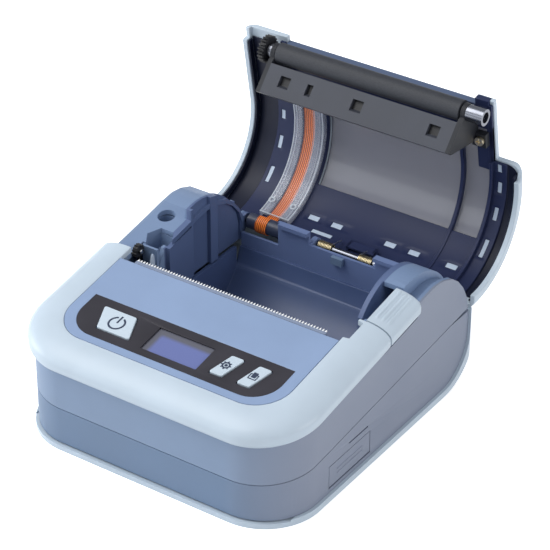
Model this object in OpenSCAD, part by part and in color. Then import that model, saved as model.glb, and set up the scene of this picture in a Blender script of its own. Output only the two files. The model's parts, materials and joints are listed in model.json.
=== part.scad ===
// Portable 80 mm receipt printer: clamshell lid on a rear hinge, shown open.
// X is to the right, Y to the rear, Z up; the origin is under the middle of the base.

/* [Body] */
// Width of the side walls
body_w = 116.4; // [110:0.2:124]
// Front face of the walls, in front of the origin
front_y = 62; // [58:0.5:66]
// Rear face of the base shell, behind the origin
rear_y = 64.5; // [64:0.1:67]
// Corner radius at the front, in plan
corner_r = 21.5; // [14:0.5:24]
// Corner radius at the rear, in plan
rear_corner_r = 5; // [3:0.5:8]
// Thickness of the housing walls
wall_t = 2.2; // [1.6:0.1:2.6]
// Height of the parting line at the origin
seam_z = 23.7; // [21:0.1:25]
// Slope of the parting line, degrees
seam_tilt = 5.9; // [4:0.1:7]
// How far the base rim stands out of the wall
rim_out = 1.2; // [0.6:0.1:2]
// Height of the base rim
rim_h = 2.6; // [2:0.1:4]
// Thickness of the base floor
floor_t = 2; // [1.6:0.1:2.4]
// Radius of the round rear of the base
rear_r = 22; // [18:0.5:24]
// Width of the base band that wraps up the rear
wrap_w = 4; // [3:0.1:5]
// Top of the base band at the rear
wrap_top_z = 28.4; // [26:0.1:28.8]

/* [Deck and bezel] */
// Height of the deck plane at the origin
deck_z = 52.05; // [50:0.05:54]
// Slope of the deck, degrees
deck_tilt = 9.1; // [7:0.1:10]
// Width of the deck between the bezel arms
deck_w = 94.6; // [90:0.2:100]
// Front edge of the deck, in front of the origin
deck_front = 53; // [50:0.5:55]
// Corner radius of the deck front
deck_r = 13.5; // [8:0.5:16]
// Thickness of the deck plate
deck_t = 2; // [1.6:0.1:2.4]
// Height of the bezel ring
bezel_h = 9; // [7:0.1:10]
// How far the bezel bulges out of the wall
bezel_out = 2.3; // [1:0.1:3]
// Rear end of the right bezel arm
bezel_rear = 1.6; // [0:0.1:4]
// Rear end of the left bezel arm, in front of the origin
bezel_left_rear = 4.5; // [3:0.1:8]
// Width of the dark panel
panel_w = 85.8; // [80:0.2:88]
// Rear edge of the panel, in front of the origin
panel_rear = 31.7; // [30:0.1:33]
// Front edge of the panel, in front of the origin
panel_front = 50.6; // [49:0.1:51]
// Corner radius of the panel front
panel_r = 11; // [6:0.5:12]
// Thickness of the panel overlay
panel_t = 0.6; // [0.4:0.1:0.8]
// Width of the display opening
screen_w = 23.7; // [20:0.1:26]
// Depth of the display opening
screen_d = 12.1; // [10:0.1:13]
// Slant of the key sides, mm over the length of a key
key_slant = 4.2; // [2:0.1:5]
// Slant of the two small keys, the other way
small_key_slant = 2.8; // [1:0.1:4]
// Length of the keys
key_l = 10.5; // [8:0.1:11]
// Height of the keys over the panel
key_up = 0.5; // [0.3:0.1:1]
// Gap around a moving key
key_gap = 0.35; // [0.3:0.05:0.5]

/* [Lid and hinge] */
// Hinge axis behind the origin
hinge_y = 60.6; // [60.4:0.1:61]
// Hinge axis height
hinge_z = 33; // [32.8:0.1:33.6]
// Angle the lid is open by
lid_open = 97; // [90:1:100]
// Hinge pin radius
pin_r = 1.25; // [1:0.05:1.4]
// Knuckle radius
knuckle_r = 2.6; // [2.2:0.1:2.8]
// Radial running clearance on the hinge pin
pin_clear = 0.06; // [0.02:0.01:0.1]
// Centre of the lid crown behind the origin
crown_y = 30.5; // [30:0.1:31]
// Centre height of the lid crown
crown_z = 29.6; // [29:0.1:30]
// Outer radius of the lid crown
crown_r = 34.5; // [34:0.1:35]
// Slope of the straight front of the lid, degrees
lid_slope = 17; // [16:0.5:18]
// Overall width of the lid
lid_w = 120; // [118:0.2:122]
// Rounding of the lid ends
lid_round = 4; // [3:0.1:5]
// Thickness of the lid shell
lid_t = 2; // [1.6:0.1:2.2]
// Radius of the free edge of the lid sides
lid_rim_r = 28.6; // [28.4:0.1:29.4]
// Length of the straight part at the lid corners
lid_ear = 31.5; // [31:0.1:32]
// Length of the straight part between the corners
lid_mid = 29.2; // [28:0.1:29.6]
// Thickness of the lid liner
liner_t = 1.2; // [1:0.1:1.4]
// Left edge of the window
win_x0 = -25; // [-26:0.5:-22]
// Right edge of the window
win_x1 = 46; // [40:0.5:47]

/* [Printing] */
// Rubber length of the platen
platen_l = 80; // [76:0.5:81]
// Rubber radius of the platen
platen_r = 4; // [3.6:0.1:4.2]
// Platen axis in front of the origin when closed
platen_y = 5; // [4.6:0.1:5.4]
// Platen axis height when closed
platen_z = 45.3; // [45:0.1:45.8]
// Platen shaft radius
shaft_r = 1.5; // [1.2:0.1:2]
// Radial running clearance of the platen shaft
shaft_clear = 0.05; // [0.02:0.01:0.1]
// Tooth size of the gears
gear_m = 0.5; // [0.45:0.05:0.5]
// Teeth on the platen gear
platen_teeth = 20; // [18:2:20]
// Teeth on the idler gear
idler_teeth = 18; // [16:2:20]
// Teeth on the motor pinion
pinion_teeth = 10; // [8:2:12]
// Gap between the end of the platen and the wall of the roll bay
bay_gap = 1.2; // [0.8:0.1:2]
// Radius of the roll cradle
cradle_r = 27; // [25:0.5:27]
// Tear edge in front of the origin
tear_y = 9.5; // [9.4:0.1:10.5]

/* [Latch and port flap] */
// Width of the latch pad, inside the face of the wall
latch_w = 8.4; // [7.4:0.1:8.6]
// Rear end of the latch pad
latch_rear = 22.4; // [18:0.2:24]
// Front end of the port flap, in front of the origin
flap_front = 33; // [32:0.5:35]
// Rear end of the port flap, in front of the origin
flap_rear = 6.6; // [5:0.2:8]
// Height of the port flap
flap_h = 9.6; // [8:0.1:10]
// Bore of the power jack
jack_bore_r = 2.9; // [2.6:0.05:3]
// Gap between the latch pad and the bezel arm
latch_gap = 0.7; // [0.6:0.05:1]

/* [Hidden] */
$fn = 48;
half_w = body_w / 2;
bay_w = platen_l / 2 + bay_gap;
latch_x = half_w - latch_w;
big = 200;
seat = 0.3;
eps = 0.01;
tangent_a = 90 + lid_slope;
hinge_clear_r = knuckle_r + 0.5;
shell_in_r = crown_r - lid_t;
liner_r = shell_in_r - liner_t;
shell_a0 = 6.5;
liner_a0 = 9;
platen = [-platen_y, platen_z];
idler_d = gear_m * (platen_teeth + idler_teeth) / 2 + 0.35;
approach_a = -62;
idler = [platen[0] + idler_d * cos(approach_a), platen[1] + idler_d * sin(approach_a)];
reduction_d = gear_m * idler_teeth + 0.15;
reduction_a = -97;
reduction = [idler[0] + reduction_d * cos(reduction_a), idler[1] + reduction_d * sin(reduction_a)];
pinion_d = gear_m * (idler_teeth + pinion_teeth) / 2 + 0.15;
pinion_a = -120;
pinion = [reduction[0] + pinion_d * cos(pinion_a), reduction[1] + pinion_d * sin(pinion_a)];
idler_phase = approach_a + 180;
reduction_phase = mesh_phase(idler_phase, idler_teeth, idler_teeth, reduction_a);
pinion_phase = mesh_phase(reduction_phase, idler_teeth, pinion_teeth, pinion_a);
gear_x = -bay_w - 5.9;
gear_w = 2.4;
colour_pale = "#c9dae6";
colour_wall = "#848da4";
colour_deck = "#8fa5c5";
colour_navy = "#282e4b";

function seam_h(y) = seam_z + y * tan(seam_tilt);
function deck_h(y) = deck_z + y * tan(deck_tilt);
function ramp_h(y) = 46.4 + (y - 2) * 0.17;

// Turn of a gear whose gap meets the tooth of a gear turned by a, with its centre in direction c
function mesh_phase(a, teeth_a, teeth_b, c) = c + 180 + (c - a) * teeth_a / teeth_b + 180 / teeth_b;

// Plan outline of the walls, grown by d
module plan(d) {
  r = corner_r + d;
  q = max(rear_corner_r + d, 0.3);
  for (s = [-1, 1]) {
    translate([s * (half_w + d - r), -front_y - d + r]) circle(r, $fn = 96);
    translate([s * (half_w + d - q), rear_y - rim_out + d - q]) circle(q);
  }
  translate([-half_w - d, -front_y - d + r])
    square([body_w + 2 * d, front_y + rear_y - rim_out + 2 * d - r - q]);
  translate([-half_w - d + r, -front_y - d]) square([body_w + 2 * d - 2 * r, r + 1]);
  translate([-half_w - d + q, 0]) square([body_w + 2 * d - 2 * q, rear_y - rim_out + d]);
}

module plan_prism(d) { linear_extrude(90) plan(d); }

// A side outline in Y and Z, extruded between two X positions
module side(x0, x1) { translate([x0, 0, 0]) rotate([90, 0, 90]) linear_extrude(x1 - x0) children(); }

// Places children in the deck plane: X to the right, Y up the slope, Z out of the deck
module on_deck(y = 0) { translate([0, y, deck_h(y)]) rotate([deck_tilt, 0, 0]) children(); }

// Side outline of the base, drawn d inside its outer face
module base_side(d, h) {
  translate([rear_y - rear_r, rear_r]) circle(rear_r - d, $fn = 96);
  translate([-80, h]) square([80 + rear_y - rear_r, 60]);
  translate([-80, rear_r]) square([80 + rear_y - d, 60]);
}

// Everything below the parting line, lowered by d
module below_seam(d) {
  side(-big, big) polygon([[-90, -1], [-90, seam_h(-90) - d], [90, seam_h(90) - d], [90, -1]]);
}

// Top outline of a side wall whose bezel arm ends at y0, lowered by d
module wall_side(d, y0) {
  polygon([[-90, 0], [-90, deck_h(-90) - bezel_h - d], [y0, deck_h(y0) - bezel_h - d], [y0, ramp_h(y0) - d],
    [20.5, 49.6 - d], [29, 51.2 - d], [35, 51.9 - d], [40.5, 51.2 - d], [46.7, 48.9 - d],
    [51, 45.6 - d], [55, 40.8 - d], [57.8 - d / 2, 35.5 - d], [58.9 - d, 31.5], [59.2 - d, 29],
    [59.2 - d, 0]]);
}

module bore_post(p, z0, z1, r, b) {
  translate([p[0], p[1], z0]) difference() {
    cylinder(h = z1 - z0, r = r);
    translate([0, 0, -1]) cylinder(h = z1 - z0 - 2, r = b);
  }
}

screw_in = [14.2, 8.2];
SCREWS = [for (y = [-44, 30], s = [-1, 1]) [s * (half_w - screw_in[y < 0 ? 0 : 1]), y]];
screw_r = 1.3;
battery = [74, 34, 17];
battery_y = -39.5;

module base_cover() {
  color(colour_pale) difference() {
    intersection() {
      plan_prism(rim_out);
      union() {
        difference() {
          side(-big, big) base_side(0, 0);
          side(-half_w + wall_t + 0.2, half_w - wall_t - 0.2) base_side(floor_t, floor_t);
          side(-big, big) base_side(wrap_w, rim_h);
        }
        side(-big, big) intersection() {
          base_side(0, 0);
          translate([-90, 0]) square([90 + rear_y - rear_r, floor_t]);
        }
      }
      below_seam(seat);
      side(-big, big) translate([-90, 0]) square([180, wrap_top_z]);
    }
    translate([-battery[0] / 2 - 1, battery_y - battery[1] / 2 - 1, -1])
      cube([battery[0] + 2, battery[1] + 2, 5]);
    for (p = SCREWS) {
      translate([p[0], p[1], -1]) cylinder(h = 5, r = screw_r + 0.2);
      translate([p[0], p[1], -1]) cylinder(h = 2.1, r = 2.7);
    }
  }
}

module battery_door() {
  color(colour_pale) {
    translate([-battery[0] / 2 - 0.7, battery_y - battery[1] / 2 - 0.7, 0.2])
      cube([battery[0] + 1.4, battery[1] + 1.4, floor_t - 0.4]);
    for (i = [-2:2])
      translate([i * 4 - 0.8, battery_y + 12, 0]) cube([1.6, 4, 0.2]);
  }
}

port_x = half_w - 9;
flap_z = 4.3;
port_mid = -(flap_front + flap_rear) / 2;
port_z = flap_z + flap_h / 2;

module lower_housing() {
  color(colour_wall) {
    difference() {
      intersection() {
        difference() {
          plan_prism(0);
          translate([0, 0, -1]) plan_prism(-wall_t);
        }
        side(-big, big) base_side(wrap_w + 0.05, rim_h + 0.05);
        below_seam(0.15);
        side(-big, big) translate([-90, 0]) square([180, wrap_top_z]);
      }
      translate([half_w - 8, -flap_front, flap_z]) cube([20, flap_front - flap_rear, flap_h]);
      translate([half_w - 0.6, -20.4, flap_z + flap_h + 2.3]) cube([4, 12.2, 0.7]);
    }
    for (p = SCREWS)
      bore_post(p, floor_t + 0.05, 16, 3, 1.1);
    for (s = [-1, 1], y = [-44, 30])
      translate([s * (half_w - wall_t / 2 - (y < 0 ? 6 : 2.5)), y, 9.5])
        cube([y < 0 ? 11.6 : 5.2, 1.6, 13], center = true);
  }
}

latch_front = bezel_rear + latch_gap;
latch_under = 1.7;
knuckles = [[-bay_w - 3.2, -bay_w - 0.4], [-11, -9], [18.5, 20.5], [bay_w + 0.4, bay_w + 3.2]];

// One housing knuckle with its arm to the back wall
module housing_knuckle(x0, x1) {
  side(x0, x1) difference() {
    union() {
      translate([hinge_y, hinge_z]) circle(knuckle_r);
      polygon([[56.2, 26], [61.4, hinge_z - 2.3], [60.6, hinge_z + 2.4], [56.2, hinge_z + 2.4]]);
    }
    translate([hinge_y, hinge_z]) circle(pin_r);
  }
}

dome_r = 25.8;
channel_w = 4.4;
shoulder_w = half_w - wall_t - channel_w - bay_w;
well = [-half_w + 6.7, 22.5];
well_r = 3.4;
pocket = [-bay_w - 5, 11];
pocket_r = 5.6;
back_y = 56;
back_t = 1.2;
back_top = 40;

plate_step = 24.4;

// One end plate of the roll bay around x, from y0 to y1; the children cut its outline
module bay_end(x, y0, y1) {
  side(x - 0.9, x + 0.9) difference() {
    intersection() {
      union() {
        translate([crown_y, crown_z]) circle(dome_r, $fn = 96);
        translate([9.8, 24]) square([44, 20]);
      }
      translate([y0, seam_h(0) + 2]) square([y1 - y0, 40]);
    }
    children();
  }
}

module upper_housing() {
  color(colour_wall) {
    difference() {
      intersection() {
        difference() {
          plan_prism(0);
          plan_prism(-wall_t);
        }
        union() {
          side(-big, 0) wall_side(0, -bezel_left_rear);
          side(0, big) wall_side(0, bezel_rear);
        }
      }
      below_seam(-0.15);
      side(latch_x - 1, big) polygon([[bezel_rear, deck_h(bezel_rear) - bezel_h - latch_under],
        [latch_rear + latch_gap, deck_h(latch_rear) - bezel_h - latch_under],
        [latch_rear + latch_gap, 90], [bezel_rear, 90]]);
    }
    // Left cheek: sloping top with a round well and a gear pocket
    difference() {
      intersection() {
        plan_prism(-wall_t + 0.02);
        side(-half_w, -bay_w) difference() {
          wall_side(0, -bezel_left_rear);
          wall_side(2, -bezel_left_rear);
          translate([-90, 0]) square([90.2 - bezel_left_rear, 80]);
          translate([50, 0]) square([20, seam_h(60) + seat]);
        }
      }
      translate([well[0], well[1], 40]) cylinder(h = 20, r = well_r);
      translate([pocket[0], pocket[1], 40]) cylinder(h = 20, r = pocket_r, $fn = 6);
      translate([-half_w + 7.7, -10, 40]) cube([20, 16.6, 20]);
      translate([-bracket_x - 2.4, -10, 40]) cube([20, 20.8, 20]);
    }
    translate([well[0], well[1], 41]) difference() {
      cylinder(h = 7, r = well_r + 1.2);
      translate([0, 0, 1.2]) cylinder(h = 10, r = well_r);
    }
    translate([pocket[0], pocket[1], 38]) difference() {
      cylinder(h = 8.6, r = pocket_r + 1.2, $fn = 6);
      translate([0, 0, 1.2]) cylinder(h = 10, r = pocket_r, $fn = 6);
      translate([3, -9, -1]) cube([9, 18, 20]);
    }
    // Right cheek: shoulder, channel and wall
    difference() {
      intersection() {
        plan_prism(-wall_t + 0.02);
        union() {
          side(bay_w, bay_w + shoulder_w) difference() {
            translate([crown_y, crown_z]) circle(dome_r, $fn = 96);
            translate([crown_y, crown_z]) circle(dome_r - 1.8, $fn = 96);
            square([90, 34]);
            translate([-90, 0]) square([90 + latch_rear + 1.5, 90]);
          }
          side(bay_w + shoulder_w, half_w) difference() {
            wall_side(1.5, bezel_rear);
            wall_side(3.3, bezel_rear);
            translate([-90, 0]) square([91 + latch_rear, 80]);
            translate([50, 0]) square([20, seam_h(60) + seat]);
          }
          side(bay_w, bay_w + shoulder_w + 0.1) difference() {
            wall_side(0, bezel_rear);
            wall_side(2, bezel_rear);
            translate([-90, 0]) square([90 + 56, 80]);
            translate([50, 0]) square([20, seam_h(60) + seat]);
          }
          side(bay_w + shoulder_w - 1.6, bay_w + shoulder_w) difference() {
            translate([crown_y, crown_z]) circle(dome_r, $fn = 96);
            square([90, 44]);
            translate([-90, 0]) square([90 + latch_rear + 1.5, 90]);
          }
        }
      }
    }
    // End plates of the roll bay: set back behind the front part, with an upright rib
    bay_end(-bay_w - 2.3, plate_step, 57.4);
    bay_end(bay_w + 0.9, plate_step, 57.4);
    bay_end(-bay_w - 0.9, 10.4, plate_step + 0.9)
      polygon([[0, 43.5], [19.5, 46.6], [24.2, 47.4], [24.2, 60], [0, 60]]);
    bay_end(bay_w + 0.9, 10.4, plate_step + 0.9);
    bay_end(-bay_w - 0.7, 36, 40.6);
    bay_end(-bracket_x - 3.3, 6.4, 11.3) polygon([[0, 43.5], [24.2, 47.4], [24.2, 60], [0, 60]]);
    // Back wall with the spring opening
    difference() {
      translate([-bay_w, back_y, 24]) cube([2 * bay_w, back_t, back_top - 24]);
      translate([-10, 50, 34.6]) cube([29.5, 20, 20]);
      translate([-bay_w - 1, 50, 29.6]) cube([bay_w - 23, 20, 20]);
    }
    translate([-23, back_y - 1.6, back_top - 1.6]) cube([13, 1.62, 1.6]);
    translate([19.5, back_y - 1.6, back_top - 1.6]) cube([bay_w - 19.5, 1.62, 1.6]);
    for (k = knuckles)
      housing_knuckle(k[0], k[1]);
    // Shelf and ears that carry the latch
    intersection() {
      plan_prism(-wall_t + 0.02);
      translate([bay_w + 3, bezel_rear + 0.2, 38.6]) cube([20, latch_rear, 1.4]);
    }
    for (x = [latch_x - 2.4, latch_x + 5.6])
      side(x, x + 1.4) difference() {
        union() {
          translate(latch_pivot) circle(1.8);
          translate([latch_pivot[0] - 1.8, 39]) square([3.6, latch_pivot[1] - 39]);
        }
        translate(latch_pivot) circle(latch_pin_r);
      }
    translate([bay_w + 1.6, 9.8, 38.6]) cube([2, 14, 1.4]);
    // Front ledge under the deck plate, on the wall
    on_deck() difference() {
      union() {
        translate([-half_w + wall_t + seat, -front_y + 24, -bezel_h - 2])
          cube([body_w - 2 * (wall_t + seat), 1.6, bezel_h - deck_t + 1.8]);
        translate([-half_w + wall_t - 0.4, -front_y + 24, -bezel_h - 2])
          cube([body_w - 2 * wall_t + 0.8, 1.6, 1.8]);
      }
      translate([-deck_w / 2 + 3, -front_y, -20]) cube([deck_w - 6, 60, 40]);
    }
    // Screw columns down to the lower housing
    for (p = SCREWS)
      translate([p[0], p[1], 16.2]) cylinder(h = (p[1] < 0 ? 18 : 22), r = 3);
    for (s = [-1, 1]) {
      translate([s * (half_w - 5.8), 30, 33]) cube([8.4, 1.6, 12], center = true);
      translate([s * (half_w - 8.4), -44, 29.5]) cube([13, 1.6, 8], center = true);
    }
  }
}

// Radius of the bezel's rounded edge, across
bezel_round = 11;

// Everything below the deck plane
module below_deck() {
  side(-big, big) polygon([[-90, 0], [-90, deck_h(-90)], [90, deck_h(90)], [90, 0]]);
}

// The rounded outer form that the bezel and the latch pad are cut from
module bullnose(y1) {
  multmatrix([[1, 0, 0, 0], [0, 1, 0, 0], [0, tan(deck_tilt), 1, 0], [0, 0, 0, 1]]) minkowski() {
    translate([0, 0, -bezel_h * 0.69]) linear_extrude(bezel_h * 0.18) intersection() {
      plan(bezel_out - bezel_round);
      translate([-100, -100]) square([200, 100 + y1]);
    }
    scale([bezel_round, bezel_round, bezel_h * 0.51]) sphere(r = 1, $fn = 24);
  }
}

module front_bezel() {
  color(colour_pale) difference() {
    translate([0, 0, deck_z]) bullnose(bezel_rear + 20);
    translate([0, 0, -1]) linear_extrude(80) deck_outline(0.15);
    side(-big, big) polygon([[-90, 0], [-90, deck_h(-90) - bezel_h], [90, deck_h(90) - bezel_h], [90, 0]]);
    translate([0, 0, -2]) intersection() {
      linear_extrude(80) plan(-wall_t);
      below_deck();
    }
    translate([0, bezel_rear, 0]) cube([big, 90, 90]);
    translate([-big, -bezel_left_rear, 0]) cube([big + eps, 90, 90]);
    // Notch that the right bush comes down through
    translate([deck_w / 2 - 2, platen[0] - bush_r - 0.4, 20])
      cube([bush_x - deck_w / 2 + 2.4, 2 * bush_r + 2.6, 60]);
  }
}

// Plan outline of the deck plate, grown by d
module deck_outline(d) {
  r = deck_r + d;
  for (s = [-1, 1])
    translate([s * (deck_w / 2 + d - r), -deck_front - d + r]) circle(r);
  translate([-deck_w / 2 - d, -deck_front - d + r]) square([deck_w + 2 * d, deck_front + 2 * d]);
  translate([-deck_w / 2 - d + r, -deck_front - d]) square([deck_w + 2 * d - 2 * r, r + 1]);
}

// Outline of the panel in the deck plane, measured from the origin
module panel_outline(d) {
  r = panel_r + d;
  intersection() {
    union() {
      for (s = [-1, 1])
        translate([s * (panel_w / 2 + d - r), -panel_front - d + r]) circle(r);
      translate([-panel_w / 2 - d, -panel_front - d + r]) square([panel_w + 2 * d, 40]);
      translate([-panel_w / 2 - d + r, -panel_front - d]) square([panel_w + 2 * d - 2 * r, r + 1]);
    }
    translate([-big, -big]) square([2 * big, big - panel_rear + d]);
  }
}

key_mid = -41;
// Each key's middle across, its width and its slant
KEYS = [[-26.6, 14.1, key_slant], [20.8, 5.2, -small_key_slant], [32.3, 5.2, -small_key_slant]];

// Slanted key outline, grown by d
// A rounded corner of radius r at b, between the points a and c
function corner(a, b, c, r) =
  let (u = (a - b) / norm(a - b), v = (c - b) / norm(c - b), t = r / tan(acos(u * v) / 2))
  [for (i = [0:4]) let (k = i / 4) (1 - k) ^ 2 * (b + u * t) + 2 * k * (1 - k) * b + k ^ 2 * (b + v * t)];

key_corner = 0.85;

module key_outline(k, d) {
  w = k[1] / 2 + d;
  l = key_l / 2 + d;
  p = [[-w + k[2] / 2, -l], [w + k[2] / 2, -l], [w - k[2] / 2, l], [-w - k[2] / 2, l]];
  translate([k[0], key_mid])
    polygon([for (i = [0:3]) each corner(p[(i + 3) % 4], p[i], p[(i + 1) % 4], key_corner)]);
}

module screen_outline(d) {
  translate([0.2 - screen_w / 2 - d, -41.4 - screen_d / 2 - d]) square([screen_w + 2 * d, screen_d + 2 * d]);
}

deck_cut_y = tear_y + 1.6;

module deck_plate() {
  color(colour_deck) difference() {
    intersection() {
      linear_extrude(80) deck_outline(0);
      on_deck() translate([-big, -big, -deck_t]) cube([2 * big, 2 * big, deck_t]);
      translate([-big, -big - deck_cut_y, 0]) cube([2 * big, big, 90]);
    }
    on_deck() translate([0, 0, -panel_t]) linear_extrude(5) panel_outline(0.05);
    on_deck() translate([0, 0, -10]) linear_extrude(12) {
      screen_outline(0.8);
      for (k = KEYS)
        key_outline(k, key_gap);
    }
  }
}

module panel_overlay() {
  color("#3c3a48") on_deck() translate([0, 0, -panel_t]) linear_extrude(panel_t) difference() {
    panel_outline(0);
    screen_outline(0);
    for (k = KEYS)
      key_outline(k, key_gap);
  }
}

module display_window() {
  color("#7078af") on_deck() translate([0, 0, -panel_t - 0.9]) linear_extrude(0.9) screen_outline(0.7);
}

module display_module() {
  color("#30323a") on_deck() translate([0, 0, -panel_t - 0.9 - 2.6]) linear_extrude(2.5) screen_outline(0.7);
}

switch_top = -5.2;
board_top = -8.4;

module key_cap(k) {
  on_deck() {
    translate([0, 0, -panel_t - 1]) linear_extrude(panel_t + 1 + key_up) key_outline(k, 0);
    translate([k[0], key_mid, switch_top + 0.9]) cylinder(h = -switch_top - 0.9 - panel_t - 0.9, r = 1.6);
  }
}

module power_key() { color(colour_pale) key_cap(KEYS[0]); }
module settings_key() { color(colour_pale) key_cap(KEYS[1]); }
module feed_key() { color(colour_pale) key_cap(KEYS[2]); }

module key_switches() {
  color("#222222") on_deck() for (k = KEYS)
    translate([k[0], key_mid, board_top]) {
      translate([-2.6, -2.6, 0]) cube([5.2, 5.2, 2.6]);
      cylinder(h = switch_top - board_top, r = 1.4);
    }
}

module control_board() {
  color("#2f6b45") on_deck() {
    translate([-38, key_mid - 7.5, board_top - 1.2]) cube([76, 15, 1.2]);
    for (s = [-1, 1])
      translate([s * 36.4 - 1.2, key_mid + 5.7, board_top]) cube([2.4, 1.7, -board_top - deck_t]);
    translate([-12, key_mid - 5, board_top]) cube([24, 10, -board_top - panel_t - 3.5]);
  }
}

module battery_pack() {
  color("#3a62a8") for (s = [-1, 1])
    translate([-battery[0] / 2 + 1, battery_y + s * battery[1] / 4, floor_t + battery[2] / 2])
      rotate([0, 90, 0]) cylinder(h = battery[0] - 2, r = battery[2] / 2);
}

board_x = half_w - 17.8;

module main_board() {
  color("#2f6b45") difference() {
    union() {
      translate([-board_x, -56, 22.2]) cube([2 * board_x, 34, 1.5]);
      translate([-30, -50, 23.7]) cube([16, 12, 2]);
      translate([0, -48, 23.7]) cube([10, 10, 1.4]);
      translate([16, -36, 23.7]) cube([18, 6, 5]);
      for (s = [-1, 1])
        translate([s * (board_x - 1.8), -30, floor_t]) cylinder(h = 20.3, r = 1.6);
    }
    for (p = SCREWS)
      translate([p[0], p[1], 10]) cylinder(h = 30, r = 3.8);
  }
}

cradle = [28.8, 31];
cradle_t = 1.2;

module roll_cradle() {
  color("#46557a") {
    for (s = [-1, 1])
      side(s * bay_w - 0.8, s * bay_w + 0.8) intersection() {
        translate(cradle) circle(cradle_r + cradle_t, $fn = 96);
        translate([-20, 0]) square([72, seam_h(0) + 1.6]);
      }
    side(-bay_w + 0.1, bay_w - 0.1) difference() {
      union() {
        translate(cradle) circle(cradle_r + cradle_t, $fn = 96);
        for (y = [6, 38])
          translate([y, floor_t]) square([2, 12]);
      }
      translate(cradle) circle(cradle_r, $fn = 96);
      translate([cradle[0] - 50, cradle[1]]) square([50, 60]);
      translate([cradle[0] - 8, cradle[1] - 7]) square([60, 60]);
    }
  }
}

tear_w = 2 * bay_w + 2.6;

module tear_bar() {
  n = 56;
  pitch = tear_w / n;
  color("#d8dadd") on_deck(-tear_y) translate([-tear_w / 2, 0, 0]) {
    translate([0, 0, -1.2]) linear_extrude(0.6) {
      translate([0, -1.5]) square([tear_w, 0.9]);
      for (i = [0:n - 1])
        translate([i * pitch, -0.61]) polygon([[0, 0], [pitch, 0], [pitch / 2, 1]]);
    }
    translate([0, -1.5, -deck_t - 0.65]) cube([tear_w, 0.6, deck_t + 0.05]);
    translate([0, -4.4, -deck_t - 0.65]) cube([tear_w, 3, 0.6]);
  }
}

head_y = -platen_y - platen_r - seat;
head_low = 31;

plate_x = bay_w + 0.7;
plate_t = 0.6;

module head_frame() {
  color("#4a4d55") difference() {
    union() {
      translate([-plate_x, head_y - 6.6, 24.6]) cube([2 * plate_x, 1.4, 22.4]);
      for (s = [-1, 1])
        translate([s * (plate_x + plate_t / 2) - plate_t / 2, head_y - 6.6, floor_t + 0.05])
          cube([plate_t, 12, 39.4]);
      translate([-plate_x, head_y - 6.6, 24.6]) cube([2 * plate_x, 12, 1.4]);
      side(-plate_x - plate_t, -plate_x) polygon([[head_y, 12], [0.4, 12], [0.4, 27], [idler[0] + 2, 27.6],
        [idler[0] + 2, idler[1] + 0.6], [head_y, idler[1] + 3]]);
    }
    side(-60, 60) translate([head_y - 1.9, head_low - 1.2]) circle(1.02);
    gear_at(pinion, -60) cylinder(h = 30, r = 1.2);
    gear_at(pinion, -plate_x) cylinder(h = 14.4, r = motor_r + 0.4);
    gear_at(pinion, -plate_x) cylinder(h = 1.6, r = flange_r + 0.4);
  }
}

module head_pivot() {
  color("#c8cace") side(-plate_x - plate_t, plate_x + plate_t)
    translate([head_y - 1.9, head_low - 1.2]) circle(1);
}

module thermal_head() {
  color("#8d9096") difference() {
    union() {
      translate([-plate_x + 0.4, head_y - 2.9, head_low - 2.8]) cube([2 * plate_x - 0.8, 2, 17.4]);
      translate([-41, head_y - 0.91, 40.8]) cube([82, 0.91, 6.4]);
      side(-plate_x + 0.4, plate_x - 0.4) translate([head_y - 1.9, head_low - 1.2]) circle(1.9);
    }
    side(-60, 60) translate([head_y - 1.9, head_low - 1.2]) circle(1.06);
  }
}

module gear(teeth, w, bore, phase) {
  r = gear_m * teeth / 2;
  linear_extrude(w) difference() {
    union() {
      circle(r - gear_m * 1.15, $fn = 72);
      for (i = [0:teeth - 1])
        rotate(i * 360 / teeth + phase) polygon([[r - gear_m * 1.3, -gear_m * 0.85], [r, -gear_m * 0.68],
          [r + gear_m * 0.85, -gear_m * 0.3], [r + gear_m * 0.85, gear_m * 0.3], [r, gear_m * 0.68],
          [r - gear_m * 1.3, gear_m * 0.85]]);
    }
    circle(bore, $fn = 32);
  }
}

// Places a gear with its axis along X at a point in Y and Z
module gear_at(p, x) { translate([x, p[0], p[1]]) rotate([90, 0, 90]) children(); }

motor_r = 5.6;
flange_r = 6.9;

module stepper_motor() {
  color("#9a9ca0") {
    gear_at(pinion, -plate_x + 0.1) cylinder(h = 13.6, r = motor_r);
    gear_at(pinion, -plate_x + 0.1) intersection() {
      cylinder(h = 1.2, r = flange_r);
      cube([40, 11, 10], center = true);
    }
    gear_at(pinion, gear_x - 0.4) cylinder(h = -plate_x - gear_x + 1, r = 0.75);
  }
}

module motor_pinion() {
  color("#d9b36a") gear_at(pinion, gear_x) gear(pinion_teeth, gear_w, 0.8, pinion_phase);
}

module reduction_gear() {
  color("#e6e2d6") gear_at(reduction, gear_x) gear(idler_teeth, gear_w, 1.06, reduction_phase);
}

module idler_gear() {
  color("#202124") gear_at(idler, gear_x) gear(idler_teeth, gear_w, 1.06, idler_phase);
}

module gear_posts() {
  color("#d8dadd") for (p = [idler, reduction])
    gear_at(p, gear_x - 0.8) {
      cylinder(h = -plate_x - plate_t - gear_x + 0.8, r = 1);
      cylinder(h = 0.6, r = 2);
    }
}

module hinge_pin() {
  color("#cfd2d6") {
    translate([-bay_w - 3.2, hinge_y, hinge_z]) rotate([0, 90, 0]) cylinder(h = 2 * bay_w + 6.4, r = pin_r);
    translate([17, hinge_y, hinge_z]) rotate([0, 90, 0]) cylinder(h = 1, r = 2.1);
  }
}

spring_x = [[-8, -2], [10, 16]];

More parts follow.
